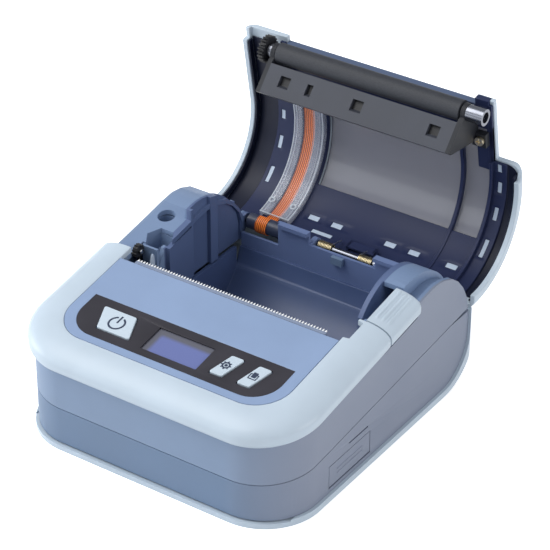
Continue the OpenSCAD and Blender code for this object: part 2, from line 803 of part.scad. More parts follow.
module lid_springs() {
  color("#c9a04e") for (s = spring_x)
    side(s[0], s[1]) translate([hinge_y, hinge_z]) difference() {
      circle(2.3);
      circle(1.6);
    }
  color("#c9a04e") for (x = [-2.8, 10])
    translate([x, hinge_y - 2.3, hinge_z - 5]) cube([0.7, 0.7, 5]);
}

latch_pivot = [latch_front + 2.9, deck_h(latch_front + 2.9) - 4.6];
latch_pin_r = 1.2;

// Height of the bezel's rounded top at x, from the deck plane
function nose_h(x) = bezel_h * 0.51
  * (sqrt(1 - pow((x - half_w - bezel_out + bezel_round) / bezel_round, 2)) - 1);

module latch_lever() {
  color(colour_pale) {
    difference() {
      translate([0, 0, deck_z]) bullnose(latch_rear + 20);
      translate([-big, -big, -1]) cube([big + latch_x, 2 * big, 90]);
      translate([-big, -big, -1]) cube([2 * big, big + latch_front, 90]);
      translate([-big, latch_rear, -1]) cube([2 * big, big, 90]);
      translate([0, 0, -bezel_h + 0.2]) below_deck();
      intersection() {
        translate([latch_x + 1.6, 0, 0]) cube([6.4, latch_rear - 1.8, 90]);
        translate([0, 0, -2.2]) below_deck();
      }
      side(latch_x - 1, 70) translate(latch_pivot) circle(latch_pin_r + pin_clear);
    }
    side(latch_x + 2.2, latch_x + 4.8) difference() {
      union() {
        translate(latch_pivot) circle(2.4);
        polygon([[latch_pivot[0] - 2.4, latch_pivot[1]], [latch_pivot[0] + 2.4, latch_pivot[1]],
          [latch_pivot[0] + 3.4, deck_h(9) - 2], [latch_pivot[0] - 2.4, deck_h(3) - 2]]);
      }
      translate(latch_pivot) circle(latch_pin_r + pin_clear);
    }
    for (x = [2.3, 4.6, 6.9])
      on_deck() translate([latch_x + x, 7, nose_h(latch_x + x + 0.8) - 0.5]) cube([0.8, 12.5, 0.85]);
  }
}

module latch_pin() {
  color("#c8cace") translate([latch_x - 2.6, latch_pivot[0], latch_pivot[1]]) rotate([0, 90, 0])
    cylinder(h = 9.6, r = latch_pin_r);
}

module latch_spring() {
  color("#c8cace") translate([latch_x + 3.6, 15.5, 0]) {
    translate([0, 0, 40.6]) cylinder(h = deck_h(14) - 2.6 - 40.6, r = 1.4);
    translate([0, 0, 40.02]) cylinder(h = 0.6, r = 2);
  }
}

module port_board() {
  color("#2f6b45") translate([port_x - 6, -flap_front + 1, flap_z - 0.9]) {
    cube([9, flap_front - flap_rear - 2, 1]);
    for (y = [3, flap_front - flap_rear - 5])
      translate([2, y, floor_t - flap_z + 0.95]) cylinder(h = flap_z - floor_t - 0.9, r = 1.6);
  }
}

usb_y = -14.5;
jack_y = -26;

module usb_socket() {
  color("#c8cace") difference() {
    translate([port_x - 3, usb_y - 4.5, port_z - 3.2]) cube([9, 9, 3.4]);
    translate([port_x - 1.5, usb_y - 4, port_z - 2.7]) cube([9, 8, 2.4]);
  }
  color("#c8cace") translate([port_x - 3, usb_y - 4, flap_z + 0.1]) cube([8, 8, port_z - 3.2 - flap_z - 0.1]);
}

module dc_jack() {
  color("#222222") difference() {
    translate([port_x - 6, jack_y - 4.4, flap_z + 0.1]) cube([12, 8.8, 8.4]);
    translate([port_x - 4, jack_y, port_z]) rotate([0, 90, 0]) cylinder(h = 12, r = jack_bore_r);
  }
}

module port_flap() {
  g = 0.3;
  l = flap_front - flap_rear - 2 * g;
  color(colour_wall) {
    translate([half_w - 1.4, -flap_front + g, flap_z + 1.6]) cube([1.4, l, flap_h - 1.6 - g]);
    translate([half_w - 0.7, -flap_front + g, flap_z + 1]) rotate([-90, 0, 0]) cylinder(h = l, r = 0.7);
    translate([half_w - 1.4, -flap_front + g, flap_z + 1]) cube([1.4, l, 0.7]);
    translate([half_w - 0.05, port_mid - 8, port_z - 1]) cube([0.25, 16, 0.6]);
    translate([half_w - 0.05, port_mid - 8, port_z + 0.8]) cube([0.25, 16, 0.6]);
  }
}

module body_screws() {
  color("#b9bcc0") for (p = SCREWS)
    translate([p[0], p[1], 0.1]) {
      cylinder(h = 1, r = 2.4);
      cylinder(h = 11, r = 1.08);
    }
}

module cable_clip() {
  color("#20242e") translate([1, back_y - 1.8, 31.2]) cube([5, 1.8, 3]);
}

// Turns the closed lid back to where it stands open
module opened() {
  translate([0, hinge_y, hinge_z]) rotate([-lid_open, 0, 0]) translate([0, -hinge_y, -hinge_z]) children();
}

// A point at radius r of the crown: at angle a, or s past the tangent along the straight front
function on_crown(r, a) = [crown_y + r * cos(a), crown_z + r * sin(a)];
function on_front(r, s) = on_crown(r, tangent_a) + s * [-sin(tangent_a), cos(tangent_a)];
function arc_points(r, a0, a1) = [for (i = [0:crown_steps]) on_crown(r, a0 + (a1 - a0) * i / crown_steps)];
crown_steps = 40;

// Side outline of a skin between two radii, round the crown and along the front to s1
module strip(r0, r1, a0, s1) {
  polygon(concat(arc_points(r1, a0, tangent_a), [on_front(r1, s1), on_front(r0, s1)],
    arc_points(r0, tangent_a, a0)));
}

// The same round the crown only
module sector(r0, r1, a0, a1) {
  polygon(concat(arc_points(r1, a0, a1), arc_points(r0, a1, a0)));
}

// The same along the front only
module front_strip(r0, r1, s0, s1) {
  polygon([on_front(r1, s0), on_front(r1, s1), on_front(r0, s1), on_front(r0, s0)]);
}

notch_x = lid_w / 2 - 11.2;
notch_y = 15.4;
notch_s = (crown_y - crown_r * sin(lid_slope) - notch_y) / cos(lid_slope);

// Space round the hinge that the lid pieces keep clear of
module hinge_space() {
  side(-45, 45) translate([hinge_y, hinge_z]) circle(hinge_clear_r);
  side(-40.4, -23.9) translate([hinge_y, hinge_z]) circle(sleeve_r + 0.8);
}

// Space of the bezel's left arm, which the closed lid stops short of
module arm_space() {
  y = seat - bezel_left_rear;
  side(-80, 0) polygon([[-30, 0], [-30, deck_h(-30) + seat], [y, deck_h(y) + seat], [y, 0]]);
}

module lid_shell() {
  r = crown_r - lid_round;
  color(colour_pale) opened() difference() {
    minkowski() {
      side(-lid_w / 2 + lid_round, lid_w / 2 - lid_round)
        polygon(concat(arc_points(r, shell_a0 - 20, tangent_a), [on_front(r, lid_ear + 8)]));
      sphere(r = lid_round, $fn = 20);
    }
    side(-lid_w / 2 + lid_t, lid_w / 2 - lid_t) strip(2, shell_in_r, shell_a0 - 50, lid_ear + 30);
    side(-big, big) sector(1, 60, shell_a0 - 120, shell_a0);
    side(-big, big) translate([crown_y, crown_z]) circle(20);
    side(-big, big) strip(2, lid_rim_r, shell_a0 - 50, lid_ear + 30);
    side(-big, big) front_strip(0, 60, lid_ear, lid_ear + 30);
    side(-41.5, 41.5) front_strip(20, 60, lid_mid, lid_ear + 5);
    side(notch_x, big) front_strip(20, 60, notch_s, lid_ear + 5);
    side(win_x0, win_x1) strip(20, 50, 56, 12);
    hinge_space();
    arm_space();
  }
}

slot_x = lid_w / 2 - 11.6;
slot_angles = [[50, 62], [73, 83], [95, 103]];

module lid_liner() {
  x = lid_w / 2 - lid_t - 0.3;
  color(colour_navy) opened() {
    difference() {
      union() {
        side(-x, x) strip(liner_r, liner_r + liner_t - 0.1, liner_a0, lid_mid - 0.3);
        side(-x, -41.8) front_strip(liner_r, liner_r + liner_t - 0.1, lid_mid - 1, lid_ear - 0.3);
        for (s = [-1, 1])
          side(s * (x - 0.35) - 0.35, s * (x - 0.35) + 0.35)
            sector(lid_rim_r + 0.5, liner_r + 0.2, liner_a0 + 3, 105);
        side(win_x1 + 1, win_x1 + 2.2) strip(liner_r - 1.5, liner_r + 0.2, liner_a0, lid_mid - 1.5);
        side(34, 35.4) sector(liner_r - 1.2, liner_r + 0.2, 12, 56);
        side(1.5, 13.5) sector(liner_r - 2, liner_r + 0.2, 13, 21);
      }
      side(win_x0, win_x1) strip(20, 50, 56, 12);
      for (a = slot_angles, s = [-1, 1])
        side(s * slot_x - 0.8, s * slot_x + 0.8) sector(20, 50, a[0], a[1]);
      for (x = [-18.3, -7.4, 15.6, 26.4, 42.8])
        side(x - 2.3, x + 2.3) sector(20, 50, 27, 31.5);
      side(-56.5, 56.5) translate([hinge_y, hinge_z]) circle(hinge_clear_r);
      hinge_space();
      side(deck_w / 2 - 0.4, big) front_strip(20, 60, notch_s - 0.6, lid_ear + 5);
      side(gear_x - 0.6, gear_x + gear_w + 0.6) front_strip(20, 60, 25.8, lid_ear + 5);
      arm_space();
    }
    for (k = [[-23.6, -20.6], [21, 24], [bay_w - 3.6, bay_w - 0.6]])
      side(k[0], k[1]) difference() {
        union() {
          translate([hinge_y, hinge_z]) circle(knuckle_r);
          polygon([[59.4, 33.6], [62.9, 33.6], [62.2, 37.6], [60.6, 38.2]]);
        }
        translate([hinge_y, hinge_z]) circle(pin_r + pin_clear);
      }
  }
}

module lid_window() {
  color([0.43, 0.43, 0.47, 0.55]) opened() side(win_x0 + 0.3, win_x1 - 0.3)
    strip(crown_r - 1.6, crown_r - 0.2, 56.3, 11.8);
}

cover_x0 = -39.5;
cover_x1 = -26;
cover_a0 = 27;
ribbon_x = -33.3;
ribbon_w = 4.8;

module cable_cover() {
  color([0.75, 0.8, 0.86, 0.45]) opened() {
    side(cover_x0, cover_x1) strip(liner_r - 2.3, liner_r - 1.4, cover_a0, 7);
    for (x = [cover_x0, cover_x1 - 0.9])
      side(x, x + 0.9) strip(liner_r - 2.3, liner_r - 0.05, cover_a0, 7);
    for (x = [-38.1, -28.8])
      translate([0, crown_y, crown_z]) rotate([90, 0, 90]) rotate([0, 0, 31])
        translate([liner_r - 2.6, 0, x]) rotate([0, 90, 0]) cylinder(h = 2.5, r = 1.4);
  }
}

sleeve_r = 3.1;

// Path of the ribbon: along the front, down the crown and once round the sleeve
ribbon_path = concat([on_front(liner_r - 0.85, 15)], arc_points(liner_r - 0.85, tangent_a, 15),
  [for (i = [0:26]) [hinge_y, hinge_z] + (sleeve_r + 0.3) * [cos(80 - i * 10), sin(80 - i * 10)]]);

function ribbon_side(i, d) = let (n = len(ribbon_path) - 1, a = ribbon_path[max(i - 1, 0)],
  b = ribbon_path[min(i + 1, n)]) ribbon_path[i] + d * [-(b[1] - a[1]), b[0] - a[0]] / norm(b - a);

module sensor_cable() {
  n = len(ribbon_path) - 1;
  color("#e0813f") opened() side(ribbon_x - ribbon_w / 2, ribbon_x + ribbon_w / 2)
    polygon(concat([for (i = [0:n]) ribbon_side(i, 0.12)], [for (i = [n:-1:0]) ribbon_side(i, -0.12)]));
}

module hinge_sleeve() {
  color("#2c2f3a") opened() side(-40, -23.9) difference() {
    translate([hinge_y, hinge_z]) circle(sleeve_r);
    translate([hinge_y, hinge_z]) circle(pin_r + pin_clear);
  }
}

module gap_sensor() {
  color("#15161a") opened() translate([ribbon_x - 4, 1.4, 40.2]) rotate([-34.8, 0, 0]) cube([8, 6, 2.2]);
}

bracket_x = platen_l / 2 + 0.6;
bush_x = bracket_x + 8.8;
bush_r = 3.2;
plate_a = [-2.2, 40.4];
plate_b = [7.6, 33.6];
lug_s = [12, 18];
lug_x = bay_w + 5.6;

// Height of the liner's inner face over the straight front, with the lid closed
function liner_h(y) = crown_z + (liner_r + sin(lid_slope) * (y - crown_y)) / cos(lid_slope);

module platen_bracket() {
  color("#1b1c20") opened() difference() {
    union() {
      side(-bracket_x - 0.1, bracket_x + 0.1) polygon([plate_a, plate_b,
        [plate_b[0] + 1, plate_b[1] + 1.4], [plate_a[0] + 0.8, plate_a[1] + 1.4]]);
      for (s = [-1, 1])
        side(s * (bracket_x + 0.9) - 0.9, s * (bracket_x + 0.9) + 0.9) difference() {
          union() {
            translate(platen) circle(3.4);
            polygon([[-7.4, 46], plate_a, plate_b, [plate_b[0] + 1, plate_b[1] + 1.4], [8.6, 44],
              [8.6, liner_h(8.6) - 0.1], [-2, liner_h(-2) - 0.1], [-6, 47.2]]);
          }
          translate(platen) circle(2.2);
        }
      for (s = [-1, 1])
        side(s > 0 ? bracket_x + 0.4 : -lug_x, s > 0 ? lug_x : -bracket_x - 0.4)
          front_strip(liner_r - 2.6, liner_r - 0.1, lug_s[0], lug_s[1]);
    }
    for (x = [[-34.5, 4.6], [-22.5, 2.6], [-2.4, 4.8], [30.6, 4.8]])
      translate([x[0], 0.6, 30]) cube([x[1], 3.8, 12]);
  }
}

// Lies on a lug: x out of the lid's crown, y along the front, z to the right
module on_lug(x) {
  opened() translate([0, crown_y, crown_z]) rotate([90, 0, 90]) rotate([0, 0, tangent_a])
    translate([liner_r - 2.6, (lug_s[0] + lug_s[1]) / 2, x]) rotate([0, -90, 0]) children();
}

module bracket_screws() {
  color("#d2b36a") for (s = [-1, 1])
    on_lug(s * (lug_x - 2.4)) difference() {
      cylinder(h = 1.1, r = 1.8);
      for (a = [0, 90])
        rotate(a) translate([-1.2, -0.25, 0.6]) cube([2.4, 0.5, 1]);
    }
}

module platen_bushes() {
  color("#d8dadd") opened() difference() {
    union() {
      for (s = [-1, 1])
        side(s * (bracket_x + 0.9) - 1.1, s * (bracket_x + 0.9) + 1.1) translate(platen) circle(2.15);
      side(bracket_x + 1.9, bush_x) translate(platen) circle(bush_r);
      side(gear_x + gear_w + seat, -bracket_x - 1.9) translate(platen) circle(2.7);
    }
    side(-big, big) translate(platen) circle(shaft_r + shaft_clear);
    side(bush_x - 1.8, big) translate(platen) circle(2.1);
  }
}

module platen_shaft() {
  color("#c8cace") opened() side(gear_x, bush_x - 2.4) translate(platen) circle(shaft_r);
}

module platen_rubber() {
  color("#2a2b2f") opened() side(-platen_l / 2, platen_l / 2) difference() {
    translate(platen) circle(platen_r, $fn = 64);
    translate(platen) circle(shaft_r);
  }
}

module platen_gear() {
  color("#18191c") opened() gear_at(platen, gear_x)
    gear(platen_teeth, gear_w, shaft_r, approach_a + 180 / platen_teeth);
}

base_cover();
lower_housing();
upper_housing();
front_bezel();
deck_plate();
panel_overlay();
display_window();
display_module();
power_key();
settings_key();
feed_key();
key_switches();
control_board();
main_board();
battery_pack();
battery_door();
roll_cradle();
tear_bar();
head_frame();
thermal_head();
head_pivot();
stepper_motor();
motor_pinion();
reduction_gear();
idler_gear();
gear_posts();
hinge_pin();
lid_springs();
latch_lever();
latch_pin();
latch_spring();
port_board();
usb_socket();
dc_jack();
port_flap();
body_screws();
cable_clip();
lid_shell();
lid_liner();
lid_window();
cable_cover();
sensor_cable();
gap_sensor();
platen_bracket();
bracket_screws();
platen_bushes();
hinge_sleeve();
platen_shaft();
platen_rubber();
platen_gear();
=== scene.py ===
import json
import math
from collections import namedtuple
import bmesh
import bpy
from mathutils import Matrix, Vector

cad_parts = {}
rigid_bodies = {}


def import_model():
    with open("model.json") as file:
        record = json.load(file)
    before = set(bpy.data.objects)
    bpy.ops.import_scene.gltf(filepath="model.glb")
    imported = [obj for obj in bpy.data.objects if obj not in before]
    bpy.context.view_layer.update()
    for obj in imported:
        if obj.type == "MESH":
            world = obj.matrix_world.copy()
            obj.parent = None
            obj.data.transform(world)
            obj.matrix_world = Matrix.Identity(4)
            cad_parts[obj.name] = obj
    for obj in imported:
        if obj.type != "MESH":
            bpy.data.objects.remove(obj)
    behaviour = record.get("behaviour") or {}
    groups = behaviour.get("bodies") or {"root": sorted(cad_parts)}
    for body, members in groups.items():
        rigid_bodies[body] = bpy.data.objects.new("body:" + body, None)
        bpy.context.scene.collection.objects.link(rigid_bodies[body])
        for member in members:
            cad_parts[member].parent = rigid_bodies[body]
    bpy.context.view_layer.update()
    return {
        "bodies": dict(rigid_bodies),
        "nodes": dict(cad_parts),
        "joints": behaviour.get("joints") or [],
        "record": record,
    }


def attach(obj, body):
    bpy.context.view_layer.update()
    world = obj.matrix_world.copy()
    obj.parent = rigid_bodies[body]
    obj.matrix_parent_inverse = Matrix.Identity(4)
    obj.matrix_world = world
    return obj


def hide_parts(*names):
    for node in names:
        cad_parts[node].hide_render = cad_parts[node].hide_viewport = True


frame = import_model()
nodes = frame["nodes"]
mm = 0.001
print("frame loaded:", len(nodes), "pieces")

# The view: a long lens from the front right, a little above the printer, in millimetres and degrees
lens = {
    "place": (432.1, -612.8, 529.9),
    "aim": (5.97, 10.23, 50.9),
    "roll": 0.11,
    "length": 163.35,
    "sensor": 36.0,
    "clip": (0.05, 20.0),
}


def placeCamera():
    data = bpy.data.cameras.new("camera")
    data.lens, data.sensor_width = lens["length"], lens["sensor"]
    data.clip_start, data.clip_end = lens["clip"]
    camera = bpy.data.objects.new("camera", data)
    bpy.context.scene.collection.objects.link(camera)
    place, aim = Vector(lens["place"]) * mm, Vector(lens["aim"]) * mm
    roll = Matrix.Rotation(math.radians(lens["roll"]), 3, "Z")
    turn = (aim - place).to_track_quat("-Z", "Y").to_matrix() @ roll
    camera.matrix_world = Matrix.Translation(place) @ turn.to_4x4()
    bpy.context.scene.camera = camera


placeCamera()
print("camera placed")


class Wire:
    # an output of a node, and the sums that can be made with it
    def __init__(self, shading, socket):
        self.shading, self.socket = shading, socket

    def also(self, output):
        return Wire(self.shading, self.socket.node.outputs[output])

    def maths(self, operation, first, second):
        return self.shading.node("ShaderNodeMath", {"operation": operation}, {0: first, 1: second})

    def __add__(self, other): return self.maths("ADD", self, other)
    def __sub__(self, other): return self.maths("SUBTRACT", self, other)
    def __rsub__(self, other): return self.maths("SUBTRACT", other, self)
    def __mul__(self, other): return self.maths("MULTIPLY", self, other)


class Shading:
    # the nodes of a material or of the world
    def __init__(self, owner):
        owner.use_nodes = True
        self.tree = owner.node_tree

    def node(self, kind, settings=None, inputs=None, output=0):
        made = self.tree.nodes.new(kind)
        for name, value in (settings or {}).items():
            setattr(made, name, value)
        for name, value in (inputs or {}).items():
            self.feed(made.inputs[name], value)
        return Wire(self, made.outputs[output])

    def feed(self, socket, value):
        if isinstance(value, Wire):
            self.tree.links.new(value.socket, socket)
        elif isinstance(value, tuple) and len(value) == 3 and socket.type == "RGBA":
            socket.default_value = (*value, 1)
        else:
            socket.default_value = value

    def ramp(self, wire, start, end, low=0, high=1):
        return self.node("ShaderNodeMapRange", None, {0: wire, 1: start, 2: end, 3: low, 4: high})


class Finish(Shading):
    # one material
    def __init__(self, name):
        self.material = bpy.data.materials.new(name)
        super().__init__(self.material)
        self.shader = self.tree.nodes["Principled BSDF"]

    def set(self, **values):
        for name, value in values.items():
            self.feed(self.shader.inputs[name.replace("_", " ")], value)
        return self

    def place(self):
        return self.node("ShaderNodeTexCoord", output="Object")

    def stretched(self, scale):
        return self.node("ShaderNodeVectorMath", {"operation": "MULTIPLY"}, {0: self.place(), 1: scale})

    def axes(self):
        split = self.node("ShaderNodeSeparateXYZ", None, {0: self.place()})
        return [split.also(i) for i in range(3)]

    def noise(self, scale, detail=2.0, rough=0.5, place=None):
        inputs = {"Vector": place or self.place(), "Scale": scale, "Detail": detail, "Roughness": rough}
        return self.node("ShaderNodeTexNoise", {"noise_dimensions": "3D"}, inputs)

    def blend(self, amount, first, second):
        return self.node("ShaderNodeMix", {"data_type": "RGBA"}, {0: amount, 6: first, 7: second}, 2)

    def spread(self, noise, low=0, high=1):
        # a noise mostly keeps to this middle part of its range
        return self.ramp(noise, 0.35, 0.65, low, high)

    def tint(self, noise, dark, light, **rest):
        return self.set(Base_Color=self.blend(self.spread(noise), dark, light), **rest)

    def bump(self, height, strength, distance):
        inputs = {"Strength": strength, "Distance": distance, "Height": height}
        return self.set(Normal=self.node("ShaderNodeBump", None, inputs))

    def over(self, wire, limit, soft):
        return self.ramp(wire, (limit - soft) * mm, (limit + soft) * mm)

    def under(self, wire, limit, soft):
        return 1.0 - self.over(wire, limit, soft)

    def within(self, zone):
        x, y, z = self.axes()
        (left, right), soft = zone["across"], zone.get("soft", 0.1)
        if zone.get("outwards"):
            return self.under(x, left, soft) + self.over(x, right, soft)
        front, rear = zone["depths"]
        across = self.over(x, left, soft) * self.under(x, right, soft)
        return across * self.over(y, front, soft) * self.under(y, rear, soft)


def srgb(hexCode):
    parts = [int(hexCode[i:i + 2], 16) / 255 for i in (0, 2, 4)]
    return tuple(p / 12.92 if p < 0.04045 else ((p + 0.055) / 1.055) ** 2.4 for p in parts)


def shade(colour, amount):
    return tuple(min(1, c * amount) for c in colour)


# Moulded plastics. The grain is the number of its grains in a metre, and the tone how far the colour drifts
Plastic = namedtuple("Plastic", "colour rough grain depth tone shine", defaults=[0.42])
plastics = {
    "pale": Plastic("BAC8D5", 0.36, 5200, 0.05, 0.03),
    "deck": Plastic("879CBE", 0.42, 4600, 0.10, 0.03),
    "wall": Plastic("687D99", 0.50, 3600, 0.16, 0.035),
    "housing": Plastic("7C8FAA", 0.50, 3600, 0.16, 0.035),
    "navy": Plastic("262E4E", 0.42, 5200, 0.05, 0.05, shine=0.22),
    "bay": Plastic("4A5B82", 0.38, 5200, 0.06, 0.05),
    "black": Plastic("1B1C20", 0.45, 4200, 0.12, 0.08),
    "tooth": Plastic("F6F8FA", 0.35, 5200, 0.02, 0.02),
    "strip": Plastic("7E8AA2", 0.38, 5200, 0.02, 0.03),
    "shadow": Plastic("2A3346", 0.6, 4200, 0.02, 0.03),
    "bracket": Plastic("41444D", 0.50, 2600, 0.20, 0.08, shine=0.3),
    "sleeve": Plastic("363D52", 0.38, 4200, 0.08, 0.05),
    "acetal": Plastic("E4E0D4", 0.38, 4200, 0.04, 0.03),
    "key": Plastic("C2D0DC", 0.40, 5200, 0.04, 0.02),
    "slate": Plastic("4E5D7A", 0.45, 5200, 0.04, 0.03),
    "slot": Plastic("B6C5D8", 0.45, 5200, 0.03, 0.02),
    "ink": Plastic("2E3A52", 0.45, 5200, 0.02, 0.02),
}
moulding = {"clouds": 38, "smoother": 0.03, "rougher": 0.04, "grainDistance": 0.03 * mm}

# Zones of another colour on a plastic, each laid over the one before, in millimetres: between two places across and
# two depths, or outwards of both places, with a soft edge. Several of them are painted light and shade, each marked
farOut = 999
# painted shade: the right side of the housing and of the walls drawn in a greyer tone, for the light falling from
# the left
rightSideShade = {"colour": "7F8799", "across": (46, farOut), "depths": (-farOut, farOut), "soft": 12}
zones = {
    "housing": [rightSideShade,
                {"colour": "7489AA", "across": (-57.3, 57.3), "depths": (-3, 62)},
                # painted shade: the bay inside the housing drawn a darker navy, for the shade in that recess
                {"colour": "55668C", "across": (-43.6, 43.6), "depths": (9.5, 63)},
                # painted light: the bay's rear wall drawn lighter, where the light falls on it
                {"colour": "6A7CA6", "across": (-41, 41), "depths": (47, 63)}],
    "wall": [rightSideShade],
    "bracket": [{"colour": "24262C", "across": (-40.6, 40.6), "outwards": True}],
    # painted shade: the liner's strips outside its steps drawn a darker navy, for the shade in those recesses
    "navy": [{"colour": "171C30", "across": (-48.7, 53.6), "outwards": True}],
}


def mouldedPlastic(name):
    part, finish = plastics[name], Finish(name + "Plastic")
    colour, clouds = srgb(part.colour), finish.noise(moulding["clouds"], 3.0, 0.6)
    skin = finish.blend(finish.spread(clouds), shade(colour, 1 - part.tone), shade(colour, 1 + part.tone))
    # the zones laid over the skin, painted light and shade among them
    for zone in zones.get(name, []):
        skin = finish.blend(finish.within(zone), skin, srgb(zone["colour"]))
    rough = finish.spread(clouds, part.rough - moulding["smoother"], part.rough + moulding["rougher"])
    finish.set(Base_Color=skin, Roughness=rough, Specular_IOR_Level=part.shine)
    return finish.bump(finish.noise(part.grain), part.depth, moulding["grainDistance"]).material


# Metals, and how fine their brushing is along each axis
Metal = namedtuple("Metal", "colour rough brush")
metals = {
    "steel": Metal("C9CCD1", 0.22, (60, 2600, 2600)),
    "chrome": Metal("7F828B", 0.2, (200, 900, 900)),
    "brass": Metal("F2E4C4", 0.30, (900, 900, 900)),
    "spring": Metal("D9CBA6", 0.22, (900, 900, 900)),
    "alloy": Metal("8E9198", 0.35, (60, 2600, 2600)),
}
brushed = {"darker": 0.9, "smudges": 160, "rougher": 0.08, "strength": 0.06, "distance": 0.02 * mm}


def plainMetal(name):
    part, finish = metals[name], Finish(name + "Metal")
    colour, brushing = srgb(part.colour), finish.noise(1.0, place=finish.stretched(part.brush))
    rough = finish.spread(finish.noise(brushed["smudges"]), part.rough, part.rough + brushed["rougher"])
    finish.tint(brushing, shade(colour, brushed["darker"]), colour, Metallic=1.0, Roughness=rough)
    return finish.bump(brushing, brushed["strength"], brushed["distance"]).material


# The flexible ribbon: copper traces under an orange film. Beside it the clear cover looks hazier, from one distance
# off its middle to another
ribbon = {"middle": -33.3, "wide": 4.8, "traces": 6, "hazeFrom": 2.3, "hazeTo": 2.8, "film": "FF8E40",
          "copper": "9C3E08"}

# Clear plastics, whose clouds are counted in a metre too, and whose alpha may be less over the ribbon
Clear = namedtuple("Clear", "colour clouds rough shine alpha onRibbon", defaults=[None])
clears = {
    "smokedWindow": Clear("787A88", 24, (0.12, 0.18), 0.6, 0.84),
    "clearCover": Clear("BFC4D4", 90, (0.12, 0.2), 0.5, 0.34, onRibbon=0.06),
    "clearBead": Clear("D5DDE6", 90, (0.16, 0.24), 0.6, 0.5),
}


def clearPlastic(name):
    part, finish = clears[name], Finish(name)
    clouds, alpha = finish.noise(part.clouds, 1.0), part.alpha
    if part.onRibbon:
        off = finish.axes()[0] - ribbon["middle"] * mm
        start, end = ribbon["hazeFrom"] * mm, ribbon["hazeTo"] * mm
        alpha = finish.ramp(off.maths("ABSOLUTE", off, 0), start, end, part.onRibbon, alpha)
    finish.set(Base_Color=srgb(part.colour), Roughness=finish.spread(clouds, *part.rough), Alpha=alpha,
               Specular_IOR_Level=part.shine)
    return finish.material


def ribbonFilm(finish):
    turns = 2 * math.pi * ribbon["traces"] / (ribbon["wide"] * mm)
    wave = finish.axes()[0] * turns
    lines = finish.ramp(wave.maths("SINE", wave, 0), -0.2, 0.4)
    finish.set(Base_Color=finish.blend(lines, srgb(ribbon["copper"]), srgb(ribbon["film"])), Roughness=0.45,
               Specular_IOR_Level=0.3)
    return finish.bump(lines, 0.3, 0.04 * mm)


def groundRubber(finish):
    grain = finish.noise(1.0, 3.0, 0.6, finish.stretched((900, 4200, 4200)))
    return finish.tint(grain, srgb("24272E"), srgb("31343C"), Roughness=0.6).bump(grain, 0.25, 0.04 * mm)


def panelFilm(finish):
    clouds = finish.noise(60)
    finish.tint(clouds, srgb("29272F"), srgb("2F2D36"), Roughness=finish.spread(clouds, 0.30, 0.36),
                Specular_IOR_Level=0.45)
    return finish.bump(finish.noise(2600, 1.0), 0.03, 0.02 * mm)


# The screen: its grey frame shows at the rear and the left of the lit glass
screen = {"left": -9.0, "rear": -37.6, "soft": 0.8, "frame": "5B5C68", "glass": "626DA2", "glow": "46508C"}


def screenGlass(finish):
    x, y, z = finish.axes()
    lit = finish.over(x, screen["left"], screen["soft"]) * finish.under(y, screen["rear"], screen["soft"])
    return finish.set(Base_Color=finish.blend(lit, srgb(screen["frame"]), srgb(screen["glass"])), Roughness=0.14,
                      Emission_Color=finish.blend(lit, (0, 0, 0), srgb(screen["glow"])), Emission_Strength=0.12,
                      Coat_Weight=0.5)


def boardResist(finish):
    place = {"Vector": finish.place(), "Scale": 320}
    tracks = finish.node("ShaderNodeTexVoronoi", {"feature": "DISTANCE_TO_EDGE"}, place)
    return finish.tint(tracks * 4, srgb("1E5A3A"), srgb("2B6E49"), Roughness=0.35)


def cellWrap(finish):
    clouds = finish.noise(120)
    return finish.tint(clouds, srgb("2F5A9C"), srgb("3B68AE"), Roughness=0.3).bump(clouds, 0.1, 0.2 * mm)


finishes = {name + "Plastic": mouldedPlastic(name) for name in plastics}
finishes |= {name + "Metal": plainMetal(name) for name in metals}
finishes |= {name: clearPlastic(name) for name in clears}
for make in (ribbonFilm, groundRubber, panelFilm, screenGlass, boardResist, cellWrap):
    finishes[make.__name__] = make(Finish(make.__name__)).material
print("finishes made:", len(finishes))

finishOf = {
    "palePlastic": "base_cover front_bezel latch_lever battery_door lid_shell",
    "keyPlastic": "power_key settings_key feed_key",
    "wallPlastic": "lower_housing port_flap cable_clip",
    "housingPlastic": "upper_housing",
    "deckPlastic": "deck_plate",
    "navyPlastic": "lid_liner",
    "bayPlastic": "roll_cradle",
    "blackPlastic": "display_module key_switches dc_jack gap_sensor idler_gear platen_gear",
    "bracketPlastic": "platen_bracket",
    "sleevePlastic": "hinge_sleeve",
    "acetalPlastic": "reduction_gear",
    "steelMetal": "gear_posts latch_pin stepper_motor usb_socket body_screws head_pivot",
    "chromeMetal": "hinge_pin platen_bushes platen_shaft",
    "brassMetal": "motor_pinion bracket_screws",
    "springMetal": "lid_springs latch_spring",
    "stripPlastic": "tear_bar",
    "alloyMetal": "head_frame thermal_head",
    "groundRubber": "platen_rubber",
    "panelFilm": "panel_overlay",
    "screenGlass": "display_window",
    "smokedWindow": "lid_window",
    "clearCover": "cable_cover",
    "ribbonFilm": "sensor_cable",
    "boardResist": "control_board main_board port_board",
    "cellWrap": "battery_pack",
}
for finish, names in finishOf.items():
    for name in names.split():
        nodes[name].data.materials.clear()
        nodes[name].data.materials.append(finishes[finish])


